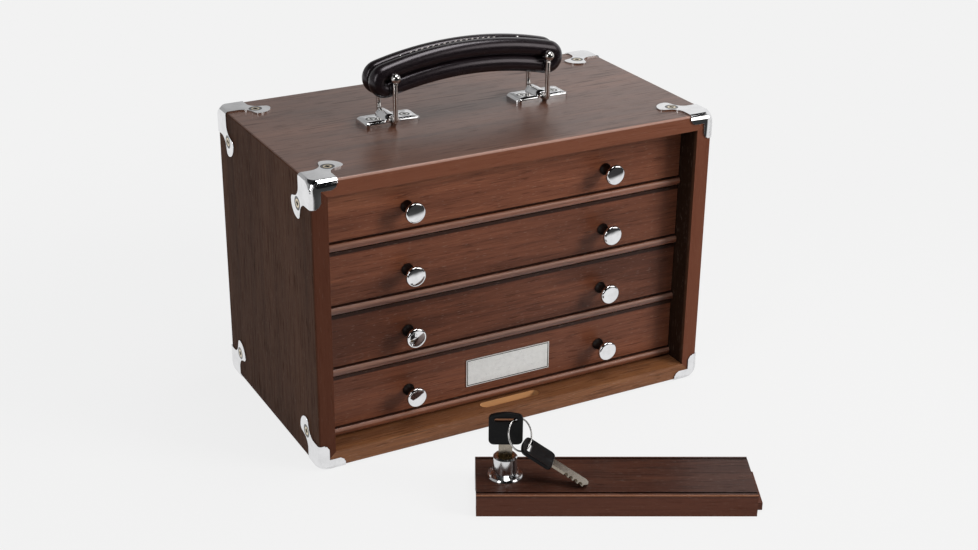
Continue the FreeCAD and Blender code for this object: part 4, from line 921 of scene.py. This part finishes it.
def seam_tacks(name, places):
    """Small domed tacks on the top seam at distances along it."""
    tack = started("tack", bpy.ops.mesh.primitive_uv_sphere_add, segments=16, ring_count=8,
                   radius=0.0012)
    bpy.ops.transform.resize(value=(1, 1, 0.6))
    bpy.ops.object.mode_set(mode="OBJECT")
    bpy.ops.object.shade_smooth()
    tacks = [copied(tack, "one_tack", Matrix.Translation(on_arch(along / ARCH, TACK_UP)))
             for along in places]
    bpy.data.objects.remove(tack)
    return joined(name, tacks)


dressed(seam_tacks("grip_tacks", (-53, 45)), RING_METAL, "grip", "bail_metal")

# The top seam, then the valleys at the front and the back
threads = stitched("grip_stitches", [
    (-44, 28, 4.6, 12.3, 0.0, 0.45), (-58, -24, 4.2, 0.9, -9.6, 0.1),
    (-58, -24, 4.2, 0.9, 9.6, -0.1)])
dressed(threads, THREAD, "grip", "leather")


# Lock, ring and keys; each key's head gets a raised rim round its sunk faces

HEAD_RIM = (1.1, 0.3)

for node, finish, body, slot in (
        ("lock_housing", LOCK_METAL, "lock_bar", "lock_metal"),
        ("lock_nut", CAM_METAL, "lock_bar", "cam_metal"),
        ("lock_plug", PLUG_METAL, "lock_plug", "plug_metal"),
        ("lock_cam", CAM_METAL, "lock_plug", "cam_metal"),
        ("cam_screw", CAM_METAL, "lock_plug", "cam_metal"),
        ("key_blade", BLADE_METAL, "key", "blade_metal"),
        ("key_head", KEY_PLASTIC, "key", "key_plastic"),
        ("key_ring", RING_METAL, "key_ring", "ring_metal"),
        ("spare_key_blade", BLADE_METAL, "spare_key", "blade_metal"),
        ("spare_key_head", KEY_PLASTIC, "spare_key", "key_plastic")):
    polished_copy(node, finish, body, slot, METAL_EDGE,
                  rim=HEAD_RIM if "head" in node else None)


# Floor, light and camera

PALE = srgb(242, 242, 242)
DARK = (0.0, 0.0, 0.0)


def pale_floor():
    """A floor that takes the object's shadow and runs out into the plain background.

    Seen in metal it is dark a little way in front of the object, as a studio is there.
    """
    fresh()
    bpy.ops.mesh.primitive_plane_add(size=14, location=(0, 0, FLOOR * MM))
    floor = bpy.context.object
    floor.name = "floor"
    finish = Finish("pale_floor", Base_Color=(0.74, 0.74, 0.74), Roughness=0.85,
                    Specular_IOR_Level=0.1)
    ray, near = finish.add("LightPath"), finish.add("TexCoord", output=3)
    glossy = ray.out("Is Glossy Ray")
    seen = (ray + glossy + ray.out("Is Transmission Ray")).low(1.0)
    reach = finish.add("VectorMath", {"operation": "LENGTH"}, [near], 1)
    ahead = near.parts()[1].between(-0.54, -0.40, 0.95, 0.0)
    tone = finish.mixed(ahead * glossy, PALE, DARK)
    glow = finish.add("Emission", None, {"Color": tone, "Strength": 1.0})
    part = seen * reach.between(0.25, 0.75, 0.92, 1.0)
    surface = finish.add("MixShader", None, [part, Link(finish, finish.shader.outputs[0]), glow])
    output = next(n for n in finish.tree.nodes if n.type == "OUTPUT_MATERIAL")
    finish.put(output.inputs["Surface"], surface)
    floor.data.materials.append(finish.material)


def pale_room():
    """Plain soft light all round, with what metal mirrors: a backdrop and a bright softbox."""
    world = bpy.data.worlds.new("studio")
    bpy.context.scene.world = world
    world.use_nodes = True
    world.node_tree.nodes.clear()
    room = Nodes(world.node_tree)
    ray = room.add("LightPath")
    x, y, z = room.add("TexCoord").parts()
    behind = y.between(-0.45, 0.05, 0.02, 1.0) * z.between(0.5, 0.68, 0.88, 0.05)
    behind = behind * x.between(0.22, 0.58, 0.45, 1.05)
    backdrop = room.add("Background", None, {"Color": (*PALE, 1)})
    fill = room.add("Background", None, {"Color": (0.92, 0.96, 1.0, 1), "Strength": 0.21})
    sweep = room.mixed(behind, DARK, (1.0, 1.0, 1.0))
    to_right, to_front, to_top = 0.637, 0.659, 0.400
    softbox = (x * to_right - y * to_front + z * to_top).between(0.945, 0.970)
    sweep = room.mixed(softbox, sweep, (3.0, 2.92, 2.84))
    mirrored = room.add("Background", None, {"Color": sweep, "Strength": 1.0})
    lit = room.add("MixShader", None, [ray.out("Is Glossy Ray"), fill, mirrored])
    shown = room.add("MixShader", None, [ray, lit, backdrop])
    output = room.tree.nodes.new("ShaderNodeOutputWorld")
    room.put(output.inputs["Surface"], shown)


def lamp(name, place, aim, size, watts, colour=(1, 1, 1)):
    """A soft rectangular lamp aimed at a place; sizes in metres."""
    light = bpy.data.lights.new(name, "AREA")
    light.shape, light.size, light.size_y = "RECTANGLE", *size
    light.energy, light.color = watts, colour
    lamp_object = bpy.data.objects.new(name, light)
    bpy.context.collection.objects.link(lamp_object)
    lamp_object.location = place
    lamp_object.rotation_euler = (Vector(aim) - Vector(place)).to_track_quat("-Z", "Y").to_euler()
    return lamp_object


pale_floor()
pale_room()
lamp("overhead_box", (0.3, -0.3, 2.0), aim=(0, 0, 0.1), size=(1.7, 0.7), watts=27)
key_lamp = lamp("right_box", (1.45, -1.5, 1.05), aim=(0, 0, 0.1), size=(0.8, 0.8), watts=52,
                colour=(1, 0.97, 0.94))
# The softbox in the room stands for this lamp in mirrors, where its own image is too bright
key_lamp.visible_glossy = False
lamp("left_strip", (-1.7, -0.9, 0.9), aim=(0, 0, 0.15), size=(0.4, 1.2), watts=8)

# The camera was solved from the case's corners as the photograph shows them
view = bpy.data.cameras.new("photograph")
view.sensor_width, view.lens = 36.0, 59.163
view.shift_x, view.shift_y = 0.03004, -0.00893
camera = bpy.data.objects.new("photograph", view)
bpy.context.collection.objects.link(camera)
camera.location = point(-556.543, -1067.875, 636.492)
camera.rotation_euler = Euler([math.radians(a) for a in (65.84, -0.1887, -27.3014)])
bpy.context.scene.camera = camera
bpy.context.scene.view_settings.view_transform = "Standard"
